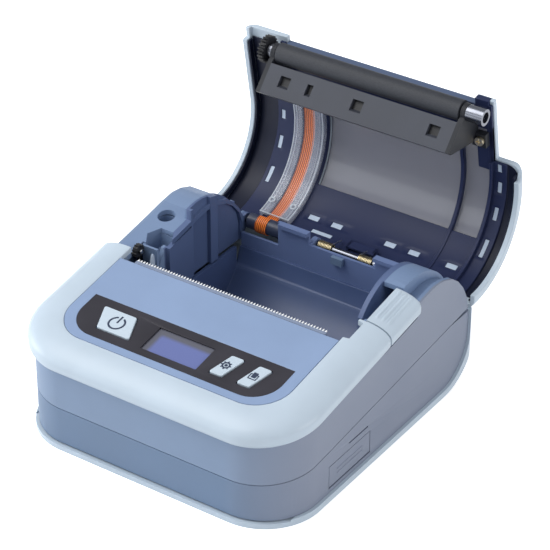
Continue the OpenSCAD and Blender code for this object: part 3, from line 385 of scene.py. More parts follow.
class Form:
    # gathers closed skins, prisms and wires into one mesh
    def __init__(self):
        self.spots, self.faces = [], []

    def add(self, spots, faces):
        start = len(self.spots)
        self.spots += [tuple(spot) for spot in spots]
        self.faces += [[start + k for k in face] for face in faces]
        return self

    def plate(self, columns, rows, outer, inner, keep=None):
        # a skin between two surfaces over a grid, closed along every cell that keep() refuses
        spots, faces, index = [], [], {}

        def spot(far, i, j):
            key = (far, i, j)
            if key not in index:
                index[key] = len(spots)
                spots.append((outer if far else inner)(columns[i], rows[j]))
            return index[key]

        kept = {(i, j) for i in range(len(columns) - 1) for j in range(len(rows) - 1)
                if keep is None or keep(columns[i], columns[i + 1], rows[j], rows[j + 1])}
        for i, j in sorted(kept):
            corners = [(i, j), (i + 1, j), (i + 1, j + 1), (i, j + 1)]
            faces.append([spot(1, *c) for c in corners])
            faces.append([spot(0, *c) for c in reversed(corners)])
            for k, (di, dj) in enumerate(((0, -1), (1, 0), (0, 1), (-1, 0))):
                if (i + di, j + dj) not in kept:
                    a, b = corners[k], corners[(k + 1) % 4]
                    faces.append([spot(1, *b), spot(1, *a), spot(0, *a), spot(0, *b)])
        return self.add(spots, faces)

    def prism(self, outline, place, low, high):
        count = len(outline)
        spots = [place(u, v, w) for w in (low, high) for u, v in outline]
        faces = [list(range(count))[::-1], [count + k for k in range(count)]]
        faces += [[k, (k + 1) % count, count + (k + 1) % count, count + k] for k in range(count)]
        return self.add(spots, faces)

    def band(self, outside, inside, place, low, high, closed=True):
        # a flat ring between two outlines with as many points
        count = len(outside)
        spots = [place(u, v, w) for w in (low, high) for line in (outside, inside) for u, v in line]
        lowOut, lowIn, topOut, topIn = (range(k * count, (k + 1) * count) for k in range(4))
        faces = []
        for k in range(count if closed else count - 1):
            n = (k + 1) % count
            faces += [[topOut[k], topOut[n], topIn[n], topIn[k]], [lowOut[k], lowIn[k], lowIn[n], lowOut[n]],
                      [lowOut[k], lowOut[n], topOut[n], topOut[k]], [lowIn[n], lowIn[k], topIn[k], topIn[n]]]
        if not closed:
            e = count - 1
            faces += [[lowOut[0], topOut[0], topIn[0], lowIn[0]], [lowOut[e], lowIn[e], topIn[e], topOut[e]]]
        return self.add(spots, faces)

    def sweep(self, rings):
        # closed rings joined one after another, with both ends filled
        count, spots, faces = len(rings[0]), [], []
        for ring in rings:
            spots += ring
        for j in range(len(rings) - 1):
            for k in range(count):
                n = (k + 1) % count
                faces.append([j * count + k, j * count + n, (j + 1) * count + n, (j + 1) * count + k])
        last = (len(rings) - 1) * count
        faces += [list(range(count))[::-1], [last + k for k in range(count)]]
        return self.add(spots, faces)

    def wire(self, path, radius, sides=7):
        path = [Vector(p) for p in path]
        rings, side = [], None
        for k, point in enumerate(path):
            ahead = (path[min(k + 1, len(path) - 1)] - path[max(k - 1, 0)]).normalized()
            side = side or ahead.orthogonal()
            side = (side - ahead * side.dot(ahead)).normalized()
            other = ahead.cross(side)
            rings.append([point + radius * (side * math.cos(a) + other * math.sin(a))
                          for a in (2 * math.pi * n / sides for n in range(sides))])
        return self.sweep(rings)

    def mesh(self):
        mesh = bpy.data.meshes.new("form")
        mesh.from_pydata([tuple(Vector(spot) * mm) for spot in self.spots], [], self.faces)
        form = bmesh.new()
        form.from_mesh(mesh)
        bmesh.ops.remove_doubles(form, verts=form.verts, dist=0.001 * mm)
        bmesh.ops.recalc_face_normals(form, faces=form.faces)
        form.to_mesh(mesh)
        form.free()
        return mesh


def roundEdges(piece, radius, angle=40, segments=2):
    bevel = piece.modifiers.new("edge", "BEVEL")
    bevel.width, bevel.segments, bevel.limit_method = radius * mm, segments, "ANGLE"
    bevel.angle_limit = math.radians(angle)
    bevel.miter_outer = "MITER_ARC"


def setDown(name, shape, finish, body, slotName, *replaced, smooth=30, edge=None):
    # puts a form or a mesh on its body, shaded smooth up to an angle, its edges rounded where a radius is given
    mesh = shape.mesh() if isinstance(shape, Form) else shape
    mesh.name = name
    piece = bpy.data.objects.new(name, mesh)
    bpy.context.scene.collection.objects.link(piece)
    mesh.materials.clear()
    mesh.materials.append(finishes[finish])
    for face in mesh.polygons:
        face.use_smooth = True
    mesh.set_sharp_from_angle(angle=math.radians(smooth))
    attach(piece, body)
    if replaced:
        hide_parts(*replaced)
    if edge:
        roundEdges(piece, *edge)


# Rounded edges: the CAD solids that show get a small radius on every hard edge
softened = {
    "base_cover": 0.30, "lower_housing": 0.18, "upper_housing": 0.18, "deck_plate": 0.15, "roll_cradle": 0.2,
    "port_flap": 0.15, "panel_overlay": 0.05,
}
slots = {part["node"]: part["material_slot"] for part in frame["record"]["subparts"]}
bodies = {name: body for body, names in frame["record"]["behaviour"]["bodies"].items() for name in names}

# The rear of the base's pale wrap: its inner arc starts from the rim's height instead of from a step
wrap = {"pieces": ("base_cover", "lower_housing"), "middle": (42.5, 22.0), "radius": 18.0, "near": 0.12,
        "rise": 19.4 / 18.0}


def easeWrap(form):
    for vert in form.verts:
        y, z = vert.co.y / mm - wrap["middle"][0], vert.co.z / mm - wrap["middle"][1]
        if y > -wrap["near"] and z < 0 and abs(math.hypot(y, z) - wrap["radius"]) < wrap["near"]:
            vert.co.z = (wrap["middle"][1] + z * wrap["rise"]) * mm


def soften():
    for name, radius in softened.items():
        form = bmesh.new()
        form.from_mesh(nodes[name].data)
        if name in wrap["pieces"]:
            easeWrap(form)
        bmesh.ops.remove_doubles(form, verts=form.verts, dist=0.01 * mm)
        bmesh.ops.dissolve_limit(form, angle_limit=math.radians(0.6), verts=form.verts, edges=form.edges,
                                 delimit={"NORMAL"})
        mesh = bpy.data.meshes.new(name)
        form.to_mesh(mesh)
        form.free()
        finish = nodes[name].data.materials[0].name
        setDown(name + "_soft", mesh, finish, bodies[name], slots[name], name, smooth=28, edge=(radius,))


soften()
print("edges softened:", len(softened))


def steps(marks, gap):
    # places from the first mark to the last, through each of them, at most a gap apart
    marks = sorted(set(marks))
    found = [marks[0]]
    for low, high in zip(marks, marks[1:]):
        count = max(1, math.ceil((high - low) / gap - 1e-6))
        found += [low + (high - low) * k / count for k in range(1, count + 1)]
    return found


def arc(radius, start, end, count, middle=(0, 0)):
    # points round a middle, from one angle up to another in degrees, both included
    turns = [math.radians(start + (end - start) * k / (count - 1)) for k in range(count)]
    return [(middle[0] + radius * math.cos(a), middle[1] + radius * math.sin(a)) for a in turns]


def circle(radius, count, middle=(0, 0)):
    return arc(radius, 0, 360, count + 1, middle)[:-1]


def toothed(tip, root, teeth, perTooth, onTip):
    # a wheel's outline, where onTip lists the points of each tooth that lie at its tip
    tips, roots = (circle(radius, teeth * perTooth) for radius in (tip, root))
    return [tips[k] if k % perTooth in onTip else roots[k] for k in range(teeth * perTooth)]


def upright(y, z, x):
    return (x, y, z)


# The plane of the deck: a point by its place across, along the slope and above it
deck = {"height": 52.05, "tilt": math.radians(9.1)}


def onDeck(x, along, up):
    return (x, along * math.cos(deck["tilt"]) - up * math.sin(deck["tilt"]),
            deck["height"] + along * math.sin(deck["tilt"]) + up * math.cos(deck["tilt"]))


def overDeck(x, y, up):
    return (x, y, deck["height"] + y * math.tan(deck["tilt"]) + up)


# The rounded front rim: its outline at the wall and inside, how far and how high it rounds, how deep it goes, and
# where its arms end. The notch, from one depth to another, narrows it for the latch
rim = {
    "half": 58.2, "front": 62.0, "corner": 21.5, "inHalf": 47.45, "inFront": 53.15, "inCorner": 13.65,
    "out": 2.3, "round": 11.0, "drop": 4.59, "flank": 1.62, "deep": 9.0, "wall": 1.99, "skin": 2.0,
    "leftEnd": -4.5, "rightEnd": 1.6, "notch": (-8.6, 0.4, 49.8), "notchEase": 0.4,
}
rimFlat = rim["out"] - rim["round"]


def underRim(deep, count):
    # the tuck under the rim's flank, down to a depth, as offsets from the wall and heights
    end = math.asin((deep - rim["drop"] - rim["flank"]) / rim["drop"])
    return [(rimFlat + rim["round"] * math.cos(a), -rim["drop"] - rim["flank"] - rim["drop"] * math.sin(a))
            for a in (end * n / count for n in range(count + 1))]


def rimSection(inner):
    # offsets from the wall and heights from the deck, from the inner edge out and round to it again
    line = [(inner, -0.25), (inner + 0.1, -0.07), (inner + 0.3, 0.0)]
    for k in range(21):
        a = math.radians(4.5 * k)
        offset = max(rimFlat + rim["round"] * math.sin(a), inner + 0.31 + 0.002 * k)
        line.append((offset, rim["drop"] * (math.cos(a) - 1)))
    line += underRim(rim["deep"], 8)
    return line + [(-rim["wall"], -rim["deep"]), (-rim["wall"], -rim["skin"] - 0.2), (inner, -rim["skin"])]


def rimCorner(side, start):
    c, inner, front, inFront = rim["corner"], rim["inCorner"], -rim["front"], -rim["inFront"]
    found = []
    for way in arc(1, start, start + 90, 25)[1:-1]:
        wall = (side * (rim["half"] - c) + c * way[0], front + c + c * way[1])
        edge = (side * (rim["inHalf"] - inner) + inner * way[0], inFront + inner + inner * way[1])
        found.append((wall, edge, way))
    return found


def rimStations():
    # wall point, inner point and the way out, from the left arm round the front to the right arm
    half, inHalf = rim["half"], rim["inHalf"]
    armFrom, straight = rim["corner"] - rim["front"], half - rim["corner"]
    low, high, far = rim["notch"]
    depths = steps([armFrom, low - rim["notchEase"], low, high, high + rim["notchEase"], rim["rightEnd"]], 6)
    return [*[((-half, y), (-inHalf, y), (-1, 0)) for y in steps([rim["leftEnd"], armFrom], 6)[::-1]],
            *rimCorner(-1, 180),
            *[((x, -rim["front"]), (x, -rim["inFront"]), (0, -1)) for x in steps([-straight, straight], 9)],
            *rimCorner(1, 270),
            *[((half, y), (far if low - 0.01 <= y <= high + 0.01 else inHalf, y), (1, 0)) for y in depths]]


def frontRim():
    rings = []
    for wall, edge, way in rimStations():
        inner = (edge[0] - wall[0]) * way[0] + (edge[1] - wall[1]) * way[1]
        aside = [edge[i] - wall[i] - way[i] * inner for i in (0, 1)]  # of the inner edge from the wall's normal
        ring = []
        for offset, up in rimSection(inner):
            share = min(1, max(0, offset / inner))
            ring.append(overDeck(*[wall[i] + way[i] * offset + aside[i] * share for i in (0, 1)], up))
        rings.append(ring)
    setDown("front_rim", Form().sweep(rings), "palePlastic", "housing", "pale_plastic", "front_bezel",
            smooth=34, edge=(0.2, 50))


frontRim()
print("front rim swept")

# The tear bar: a strip under the deck's edge, and fine teeth along its line, with a share of the pitch left free on
# each side of a tooth
tear = {"half": 41.2, "base": -11.0, "line": -9.6, "tip": -8.4, "teeth": 68, "gap": 0.2, "top": -0.15, "low": -0.75,
        "hook": -2.6}


def tearBar():
    half, pitch, line, form = tear["half"], 2 * tear["half"] / tear["teeth"], tear["line"], Form()
    for k in range(tear["teeth"]):
        left, free = -half + k * pitch, tear["gap"] * pitch
        tooth = [(left + free, line), (left + pitch - free, line), (left + pitch / 2, tear["tip"])]
        form.prism(tooth, onDeck, tear["low"], tear["top"])
    setDown("tear_teeth", form, "toothPlastic", "housing", "steel", "tear_bar", smooth=20)
    strip = Form().prism([(-half, tear["base"]), (half, tear["base"]), (half, line), (-half, line)], onDeck,
                         tear["hook"], tear["top"])
    setDown("tear_strip", strip, "stripPlastic", "housing", "steel", edge=(0.1, 50))


tearBar()

# What shows left of the deck: a toothed hub with its bright shaft end, and a pale catch
hub = {"middle": (1.9, 46.0), "radius": 2.7, "root": 2.2, "teeth": 14, "across": (-50.3, -48.4), "shaft": 0.95,
       "shaftAcross": (-48.5, -47.5)}
catch = {"across": (-44.3, -43.5), "outline": ((1.6, 39.5), (4.6, 39.5), (4.2, 44.6), (3.4, 45.8), (2.6, 44.6))}


def driveEnd():
    def onHub(u, v, x):
        return upright(hub["middle"][0] + u, hub["middle"][1] + v, x)

    wheel = Form().prism(toothed(hub["radius"], hub["root"], hub["teeth"], 4, (0, 1)), onHub, *hub["across"])
    setDown("drive_hub", wheel, "blackPlastic", "housing", "black_plastic")
    shaft = Form().prism(circle(hub["shaft"], 24), onHub, *hub["shaftAcross"])
    setDown("hub_shaft", shaft, "steelMetal", "housing", "steel", edge=(0.2, 50))
    lever = Form().prism(catch["outline"], upright, *catch["across"])
    setDown("hub_catch", lever, "slotPlastic", "housing", "pale_plastic", edge=(0.2, 50))


driveEnd()

# The latch pad: rounded as the rim is, with three raised grips and a round rear end. Below its lip a dark sheet on
# the wall stands in for the shade in the gap there, a painted shadow
pad = {
    "inner": 49.8, "front": 2.3, "rear": 22.4, "deep": 8.8, "lip": 6.9, "edge": 0.35,
    "grips": (52.3, 54.7, 57.1), "gripRise": 0.5, "gripHalf": 0.6, "gripFoot": 0.56, "gripEnds": (5.6, 20.2),
    "endRound": 1.4, "endShrink": 1.3, "flankFrom": 66, "cell": 0.14,
    # the painted shadow under the lip: from and to along, how proud of the wall, and how far up under the lip
    "slot": (1.6, 21.2), "shadowSheetProud": 0.06, "shadowSheetOver": 0.3,
}


def gripsRise(x, y):
    low, high = pad["gripEnds"]
    beyond = max(low - y, y - high, 0)
    offs = [math.hypot(x - middle, beyond) / pad["gripHalf"] for middle in pad["grips"]]
    return sum(pad["gripRise"] * math.sqrt(max(0, 1 - off ** 2)) for off in offs)


def padRing(y, xs):
    tuck = max(0, pad["endRound"] - (pad["rear"] - y)) / pad["endRound"]
    shrink = pad["endShrink"] * (1 - math.sqrt(max(0, 1 - tuck * tuck)))
    flat, bend, drop = rim["half"] + rimFlat, rim["round"], rim["drop"]
    ring = [overDeck(pad["inner"], y, -pad["deep"]), overDeck(pad["inner"], y, -pad["edge"] - shrink)]
    for x in xs:
        reach = min(1, max(0, (x - flat) / bend))
        top = drop * (math.sqrt(1 - reach * reach) - 1)
        ring.append(overDeck(min(x, rim["half"] + rim["out"] - shrink), y, top + gripsRise(x, y) - shrink))
    for k in range(1, 9):
        a = math.radians(pad["flankFrom"] + (90 - pad["flankFrom"]) * k / 8)
        lower = shrink * (1 - k / 8)
        ring.append(overDeck(flat + bend * math.sin(a) - shrink, y, drop * (math.cos(a) - 1) - lower))
    return ring + [overDeck(rim["half"] + offset - shrink, y, up) for offset, up in underRim(pad["lip"], 6)]


def latchPad():
    feet = [middle + side * pad["gripFoot"] for middle in pad["grips"] for side in (-1, 1)]
    xs = steps([pad["inner"] + 0.3, *feet, rim["half"] + rim["out"] - 0.9], pad["cell"])
    depths = steps([pad["front"], *pad["gripEnds"], pad["rear"] - pad["endRound"]], 0.7)
    depths += [pad["rear"] - back for back in (1.0, 0.6, 0.3, 0.1, 0.0)]
    setDown("latch_pad", Form().sweep([padRing(y, xs) for y in depths]), "palePlastic", "latch", "pale_plastic",
            "latch_lever", smooth=40, edge=(0.15, 60))
    # a dark sheet on the wall below the lip: painted shadow for the gap under the latch
    (low, high), foot, head = pad["slot"], -rim["deep"], -pad["lip"] + pad["shadowSheetOver"]
    slot = Form().prism([(low, foot), (high, foot), (high, head), (low, head)],
                        lambda y, up, x: overDeck(rim["half"] + x, y, up), 0.0, pad["shadowSheetProud"])
    setDown("latch_shadow_sheet", slot, "shadowPlastic", "housing", "black_plastic")


latchPad()
print("latch pad shaped")

# The lid, closed, and the hinge that it stands open on. A way round it is in degrees round the crown, and past the
# slope's angle in millimetres down the front
lid = {
    "crown": (30.5, 29.6), "slope": 107.0, "hinge": (60.6, 33.0), "open": math.radians(-97.0),
    "half": 60.0, "outside": 34.5, "shellIn": 32.5, "thick": 2.0, "round": 4.0, "rim": 28.6, "from": 6.5,
    "armTo": 134.3, "armHalf": 50.0, "armOut": 31.6, "middleTo": 135.4, "earTo": 138.5, "earFrom": 41.5,
    "cutFrom": 48.8, "cutTo": 112.24, "cornerRound": 5.0, "cornerFrom": 100.0,
    "window": (-25.0, 46.0, 56.0, 119.0), "tongue": (35.6, 46.0, 126.0),
    "sleeve": (-40.4, -23.9, 10.0), "scoop": {"half": 45.0, "to": 11.0, "deep": 1.3}, "bayRow": 27,
}
slope = lid["slope"]


def along(radius, way):
    turn, fall, run = math.radians(min(way, slope)), math.radians(slope), max(way - slope, 0)
    return (lid["crown"][0] + radius * math.cos(turn) - run * math.sin(fall),
            lid["crown"][1] + radius * math.sin(turn) + run * math.cos(fall))


def opened(x, y, z):
    dy, dz = y - lid["hinge"][0], z - lid["hinge"][1]
    c, s = math.cos(lid["open"]), math.sin(lid["open"])
    return (x, lid["hinge"][0] + dy * c - dz * s, lid["hinge"][1] + dy * s + dz * c)


def openedSide(y, z, x):
    return opened(x, y, z)


def onLid(x, radius, way):
    return opened(x, *along(radius, way))


def lidWall(form, columns, rows, inner, outer):
    # a skin of the lid between two radii
    return form.plate(columns, rows, lambda x, way: onLid(x, outer, way), lambda x, way: onLid(x, inner, way))


def rounded(x, way):
    # the outer corner of the right edge's cut falls away in a quarter round
    beyond, bend, start = max(0, x - lid["half"] + lid["cornerRound"]), lid["cornerRound"], lid["cornerFrom"]
    if way > lid["cutTo"] + 0.1 or way < start or beyond == 0:
        return way
    fall = bend - math.sqrt(max(0, bend ** 2 - beyond ** 2))
    return way - fall * (way - start) / (lid["cutTo"] - start)


def shellEdge():
    # across and radius of the outside, then of the inside, up the right side and round onto the top
    half, bend, thick = lid["half"], lid["round"], lid["thick"]
    foot = lid["outside"] - bend
    edge = [(half, radius, half - thick, radius) for radius in (lid["rim"], foot)]
    for k in range(1, 9):
        a = math.radians(90 * k / 8)
        inX = half - thick - max(0, k - 4) / 4 * (bend - thick)
        inRadius = foot + (lid["shellIn"] - foot) * min(1, k / 4)
        edge.append((half - bend + bend * math.cos(a), foot + bend * math.sin(a), inX, inRadius))
    return edge


def lidShell():
    flatHalf, scoop, ear = lid["half"] - lid["round"], lid["scoop"], lid["earFrom"]
    left, right, low, high = lid["window"]
    sleeveLeft, sleeveRight, sleeveTo = lid["sleeve"]
    marks = [-flatHalf, -scoop["half"], -ear, sleeveLeft, left, sleeveRight, ear, scoop["half"], right,
             lid["cutFrom"], lid["half"] - lid["cornerRound"], flatHalf]
    edge, flat = shellEdge(), [(x, lid["outside"], x, lid["shellIn"]) for x in steps(marks, 6)[1:-1]]
    columns = [(-a, b, -c, d) for a, b, c, d in edge] + flat + edge[::-1]
    rows = steps([lid["from"], sleeveTo, scoop["to"], lid["bayRow"], low, slope, lid["cutTo"], high, lid["armTo"],
                  lid["middleTo"], lid["earTo"]], 3)

    def keep(a, b, start, end):
        x, radius, way = (a[0] + b[0]) / 2, (a[1] + b[1]) / 2, (start + end) / 2
        return not (abs(x) < ear and way > lid["middleTo"] or x > lid["cutFrom"] and way > lid["cutTo"]
                    or left < x < right and low < way < high
                    or sleeveLeft < x < sleeveRight and way < sleeveTo
                    or x < -lid["armHalf"] and way > lid["armTo"] and radius < lid["armOut"])

    def inside(c, way):
        fall = max(0, (scoop["to"] - way) / (scoop["to"] - lid["from"]))
        deeper = scoop["deep"] * fall if abs(c[2]) < scoop["half"] + 0.1 else 0
        return onLid(c[2], c[3] + deeper, rounded(c[0], way))

    form = Form().plate(columns, rows, lambda c, way: onLid(c[0], c[1], rounded(c[0], way)), inside, keep)
    setDown("lid_skin", form, "palePlastic", "lid", "pale_plastic", "lid_shell", smooth=35, edge=(0.3, 50))


lidShell()

# The liner: radii, its edges, its slots across the left and right edges, the low vents and the cuts round the hinge
liner = {
    "half": 57.7, "in": 31.3, "out": 32.4, "start": 9.0, "from": 12.0, "sideFrom": 56.5, "middleFrom": -41.8,
    "middleTo": 135.9, "cutFrom": 46.9, "cutTo": 111.64, "armFrom": -46.9, "earTo": 136.5, "cornerIn": 2.0,
    "gear": (-47.7, -44.1, 132.8), "sleeve": (-40.4, -23.9, 13.5),
    "leftSlots": (-46.2, 1.6, ((45.5, 57.5), (71.5, 80.5), (93.5, 100.5))),
    "rightSlots": (50.6, 1.6, ((44.5, 57.5), (71.5, 80.5), (91.5, 99.5), (107.5, 111.0))),
    "vents": ((-19.3, 4.6), (-8.8, 4.6), (15.2, 4.6), (25.8, 4.6), (42.2, 4.6)), "ventTo": (29.0, 33.0),
    "step": 0.7, "stepAt": (-48.5, 53.4), "stepEase": 0.3, "cornerMarks": (53.0, 54.5, 55.5, 56.5),
}

# Walls that stand on the liner: from and to across, inner and outer radius, and the rows' marks round the lid
linerWalls = {
    "leftEdge": (-57.95, -57.2, 29.1, 31.4, (9, slope, 133.8)),
    "rightEdge": (57.2, 57.95, 29.1, 31.4, (9, slope, 109.0)),
    "besideEarLow": (46.6, 48.3, 31.35, 32.45, (slope, 112.8, 127.0)),
    "besideEar": (46.6, 48.3, 31.35, 32.45, (slope, 129.4, 136.9)),
    "behindEar": (41.45, 47.1, 31.35, 33.9, (slope, 135.6, 138.75)),
    "rightRail": (47.0, 48.1, 29.8, 31.4, (12, slope, 111.6)),
    "lowRib": (34.0, 35.4, 30.9, 31.4, (12, 56)),
    "paneRib": (34.0, 35.4, 30.9, 32.85, (56, slope, 119)),
    "highRib": (34.0, 35.4, 30.9, 31.4, (slope, 119, 126)),
    "leftOfSpring": (1.5, 2.6, 29.3, 31.4, (13, 21)),
    "rightOfSpring": (12.4, 13.5, 29.3, 31.4, (13, 21)),
    "overSpring": (1.5, 13.5, 29.3, 30.0, (13, 21)),
}
knuckle = {"across": ((-23.6, -20.6), (21.0, 24.0), (37.6, 40.6)), "radius": 2.6, "bore": 1.31,
           "arm": ((59.4, 35.3), (62.1, 35.1), (62.2, 37.6), (60.8, 38.4))}


def linerSlots():
    sides = (liner["leftSlots"], liner["rightSlots"])
    found = [(x - w / 2, x + w / 2, a, b) for x, w, spans in sides for a, b in spans]
    return found + [(x - w / 2, x + w / 2, *liner["ventTo"]) for x, w in liner["vents"]]


def linerPlate(form):
    holes, (stepLeft, stepRight), half = linerSlots(), liner["stepAt"], liner["half"]
    gearLeft, gearRight, gearTo = liner["gear"]
    sleeveLeft, sleeveRight, sleeveTo = liner["sleeve"]
    left, right, low, high = lid["window"]
    columns = steps([-half, half, gearLeft, gearRight, sleeveLeft, sleeveRight, left, right, liner["middleFrom"],
                     stepLeft - liner["stepEase"], stepLeft, stepRight, stepRight + liner["stepEase"],
                     *liner["cornerMarks"], liner["cutFrom"], *[x for hole in holes for x in hole[:2]]], 5)
    rows = steps([liner["start"], liner["from"], sleeveTo, low, high, slope, liner["cutTo"], gearTo,
                  liner["middleTo"], liner["earTo"], *[way for hole in holes for way in hole[2:]]], 3)

    def keep(a, b, start, end):
        x, way = (a + b) / 2, (start + end) / 2
        return not (abs(x) < liner["sideFrom"] and way < liner["from"]
                    or sleeveLeft < x < sleeveRight and way < sleeveTo
                    or x > liner["cutFrom"] and way > liner["cutTo"]
                    or x > liner["middleFrom"] and way > liner["middleTo"]
                    or gearLeft < x < gearRight and way > gearTo
                    or left < x < right and low < way < high
                    or x < liner["armFrom"] and way > lid["armTo"]
                    or any(hole[0] < x < hole[1] and hole[2] < way < hole[3] for hole in holes))

    def skin(radius, stepped):
        def spot(x, way):
            aside = stepped and not stepLeft <= x <= stepRight
            return onLid(x, radius + (liner["step"] if aside else 0), rounded(x + liner["cornerIn"], way))
        return spot

    form.plate(columns, rows, skin(liner["out"], False), skin(liner["in"], True), keep)


def lidLiner():
    form = Form()
    linerPlate(form)
    for left, right, inner, outer, marks in linerWalls.values():
        lidWall(form, [left, right], steps(marks, 3), inner, outer)
    for left, right in knuckle["across"]:
        outside, bore = (circle(knuckle[size], 30, lid["hinge"]) for size in ("radius", "bore"))
        form.band(outside, bore, openedSide, left, right)
        form.prism(knuckle["arm"], openedSide, left, right)
    setDown("liner_skin", form, "navyPlastic", "lid", "navy_plastic", "lid_liner", smooth=35, edge=(0.15, 55, 1))


lidLiner()

# Thin pieces on the liner: across, inner and outer radius, from and to round the lid
lip = {"across": (-41.4, 41.6), "in": 31.35, "out": 34.05, "ends": (135.45, 136.3)}
lightStrip = {"across": (-16.4, -7.6), "in": 31.2, "out": 31.35, "ends": (18.6, 21.6)}
slotFloor = {"in": 31.5, "out": 31.75, "free": 0.02}

# A black plate behind the platen bracket's four holes, so that they read as dark: painted shade for what shows
# through them
holeShade = {"across": (-35.2, 35.9), "outline": ((0.3, 40.67), (4.9, 37.54), (5.05, 37.76), (0.45, 40.89))}


def lidLip():
    form = lidWall(Form(), steps(lip["across"], 6), lip["ends"], lip["in"], lip["out"])
    setDown("liner_lip", form, "slatePlastic", "lid", "navy_plastic", smooth=35, edge=(0.15, 50))


def bracketHoleShade():
    # painted shade: a black plate that closes the holes from behind
    form = Form().prism(holeShade["outline"], openedSide, *holeShade["across"])
    setDown("bracket_hole_shade", form, "blackPlastic", "lid", "black_plastic")


def slotPads():
    # the pale shell that shows through the slots, brought up flush so that it catches the light
    form, free = Form(), slotFloor["free"]
    for left, right, low, high in linerSlots():
        lidWall(form, [left + free, right - free], steps([low, high], 1), slotFloor["in"], slotFloor["out"])
    setDown("slot_floors", form, "slotPlastic", "lid", "pale_plastic")
    bar = lidWall(Form(), lightStrip["across"], steps(lightStrip["ends"], 1), lightStrip["in"], lightStrip["out"])
    setDown("hinge_light_strip", bar, "slotPlastic", "lid", "pale_plastic")


lidLip()
bracketHoleShade()
slotPads()

# The smoked pane in the window, and the thin tongue that it sends on under the bracket's side
pane = {"inset": 0.3, "frontInset": 0.2, "out": 34.3, "in": 32.9, "tongueOut": 31.28, "tongueIn": 31.1}


def lidWindow():
    left, right, low, high = lid["window"]
    columns = steps([left + pane["inset"], right - pane["inset"]], 6)
    rows = steps([low + pane["inset"], slope, high - pane["frontInset"]], 2.5)
    form = lidWall(Form(), columns, rows, pane["in"], pane["out"])
    left, right, end = lid["tongue"]
    lidWall(form, [left, right], steps([high - pane["inset"], end], 2.5), pane["tongueIn"], pane["tongueOut"])
    setDown("smoked_pane", form, "smokedWindow", "lid", "smoked_window", "lid_window", smooth=35, edge=(0.2, 50))


lidWindow()

# The clear cover over the ribbon: its plate, walls, long beads and two bosses
cover = {
    "from": -39.5, "to": -26.0, "wall": 0.8, "low": 29.0, "high": 29.9, "foot": 31.25, "start": 17.0, "end": 114.0,
    "beads": ((-39.45, -39.0), (-38.0, -37.85), (-27.6, -27.45), (-26.5, -26.05)), "beadHigh": 0.26,
    "endBeads": ((17.0, 17.9), (113.5, 114.0)), "endBeadHigh": 0.3, "lift": 0.02,
    "bosses": (-38.1, -28.2), "bossAt": 31.0, "bossRadius": 1.4, "bossBore": 0.7, "bossLow": 28.5,
    "perDegree": 0.506,
}


def cableCover():
    left, right, low, high = (cover[edge] for edge in ("from", "to", "low", "high"))
    rows = steps([cover["start"], slope, cover["end"]], 2.5)
    form = lidWall(Form(), steps([left, right], 4), rows, low, high)
    for span in ((left, left + cover["wall"]), (right - cover["wall"], right)):
        lidWall(form, span, rows, high, cover["foot"])
    setDown("ribbon_cover", form, "clearCover", "lid", "clear_cover", "cable_cover")
    trim, under = Form(), low - cover["lift"]
    for span in cover["beads"]:
        lidWall(trim, span, rows, low - cover["beadHigh"], under)
    for ends in cover["endBeads"]:
        lidWall(trim, [left, right], ends, low - cover["endBeadHigh"], under)
    for middle in cover["bosses"]:
        def onBoss(u, v, radius):
            return onLid(middle + u, radius, cover["bossAt"] + v / cover["perDegree"])

        trim.band(circle(cover["bossRadius"], 18), circle(cover["bossBore"], 18), onBoss, cover["bossLow"], low)
    setDown("cover_beads", trim, "clearBead", "lid", "clear_cover")


cableCover()
print("lid dressed")

# The springs on the hinge pin: two coils with an end each, and a leg of each that lies against the lid
spring = {"radius": 1.95, "wire": 0.27, "turns": 10, "perTurn": 16, "coils": ((-8.0, -2.0), (10.0, 16.0)),
          "endPath": ((0, 0), (0, -2.2), (-0.1, -4.6)),
          "legs": (-2.25, 10.25), "legPath": ((0, 0), (0.1, 3.0), (0.45, 6.4))}


def lidSprings():
    y, z = lid["hinge"][0] - spring["radius"], lid["hinge"][1]
    coils, legs, count = Form(), Form(), spring["turns"] * spring["perTurn"]
    turns = circle(spring["radius"], spring["perTurn"], lid["hinge"])
    for left, right in spring["coils"]:
        coils.wire([(left + (right - left) * k / count, *turns[k % spring["perTurn"]]) for k in range(count + 1)],
                   spring["wire"])
    for x in (spring["coils"][0][0], spring["coils"][1][1]):
        coils.wire([(x, y + dy, z + dz) for dy, dz in spring["endPath"]], spring["wire"])
    for x in spring["legs"]:
        legs.wire([opened(x, y + dy, z + dz) for dy, dz in spring["legPath"]], spring["wire"])
    setDown("spring_coils", coils, "springMetal", "housing", "spring_steel", "lid_springs", smooth=60)
    setDown("spring_legs", legs, "steelMetal", "lid", "spring_steel", smooth=60)


lidSprings()
print("springs wound")

# The keys: centre, width and slant, in the deck's plane, and the shape that they share
keys = {
    "power_key": {"middle": -26.6, "wide": 14.1, "slant": 4.2},
    "settings_key": {"middle": 20.8, "wide": 5.2, "slant": -2.8},
    "feed_key": {"middle": 32.3, "wide": 5.2, "slant": -2.8},
}
keyShape = {"along": -41.0, "long": 10.5, "top": 0.5, "low": -1.6, "corner": 0.85}
ink = {"sunk": 0.02, "rise": 0.05, "pageRise": 0.06}

# The marks on the keys, from the key's middle. Power: an open ring and a bar; settings: a toothed ring and a dot;
# feed: a page in a frame
powerMark = {"ringAt": (0.3, -0.4), "radii": (3.35, 2.62), "turn": (113, 427),
             "barAt": (0.3, -0.3), "bar": (-0.35, -0.1, 0.35, 3.7, 0.25)}
gearMark = {"at": (-0.3, 0), "tip": 2.1, "root": 1.62, "bore": 0.98, "dot": 0.62}
feedMark = {"frameAt": (-0.2, -0.3), "outside": (-1.75, -1.5, 1.75, 1.3, 0.45),
            "inside": (-1.34, -1.09, 1.34, 0.89, 0.25),
            "pageAt": (-0.2, -0.1), "page": (-0.85, -0.75, 0.95, 1.9, 0.2)}


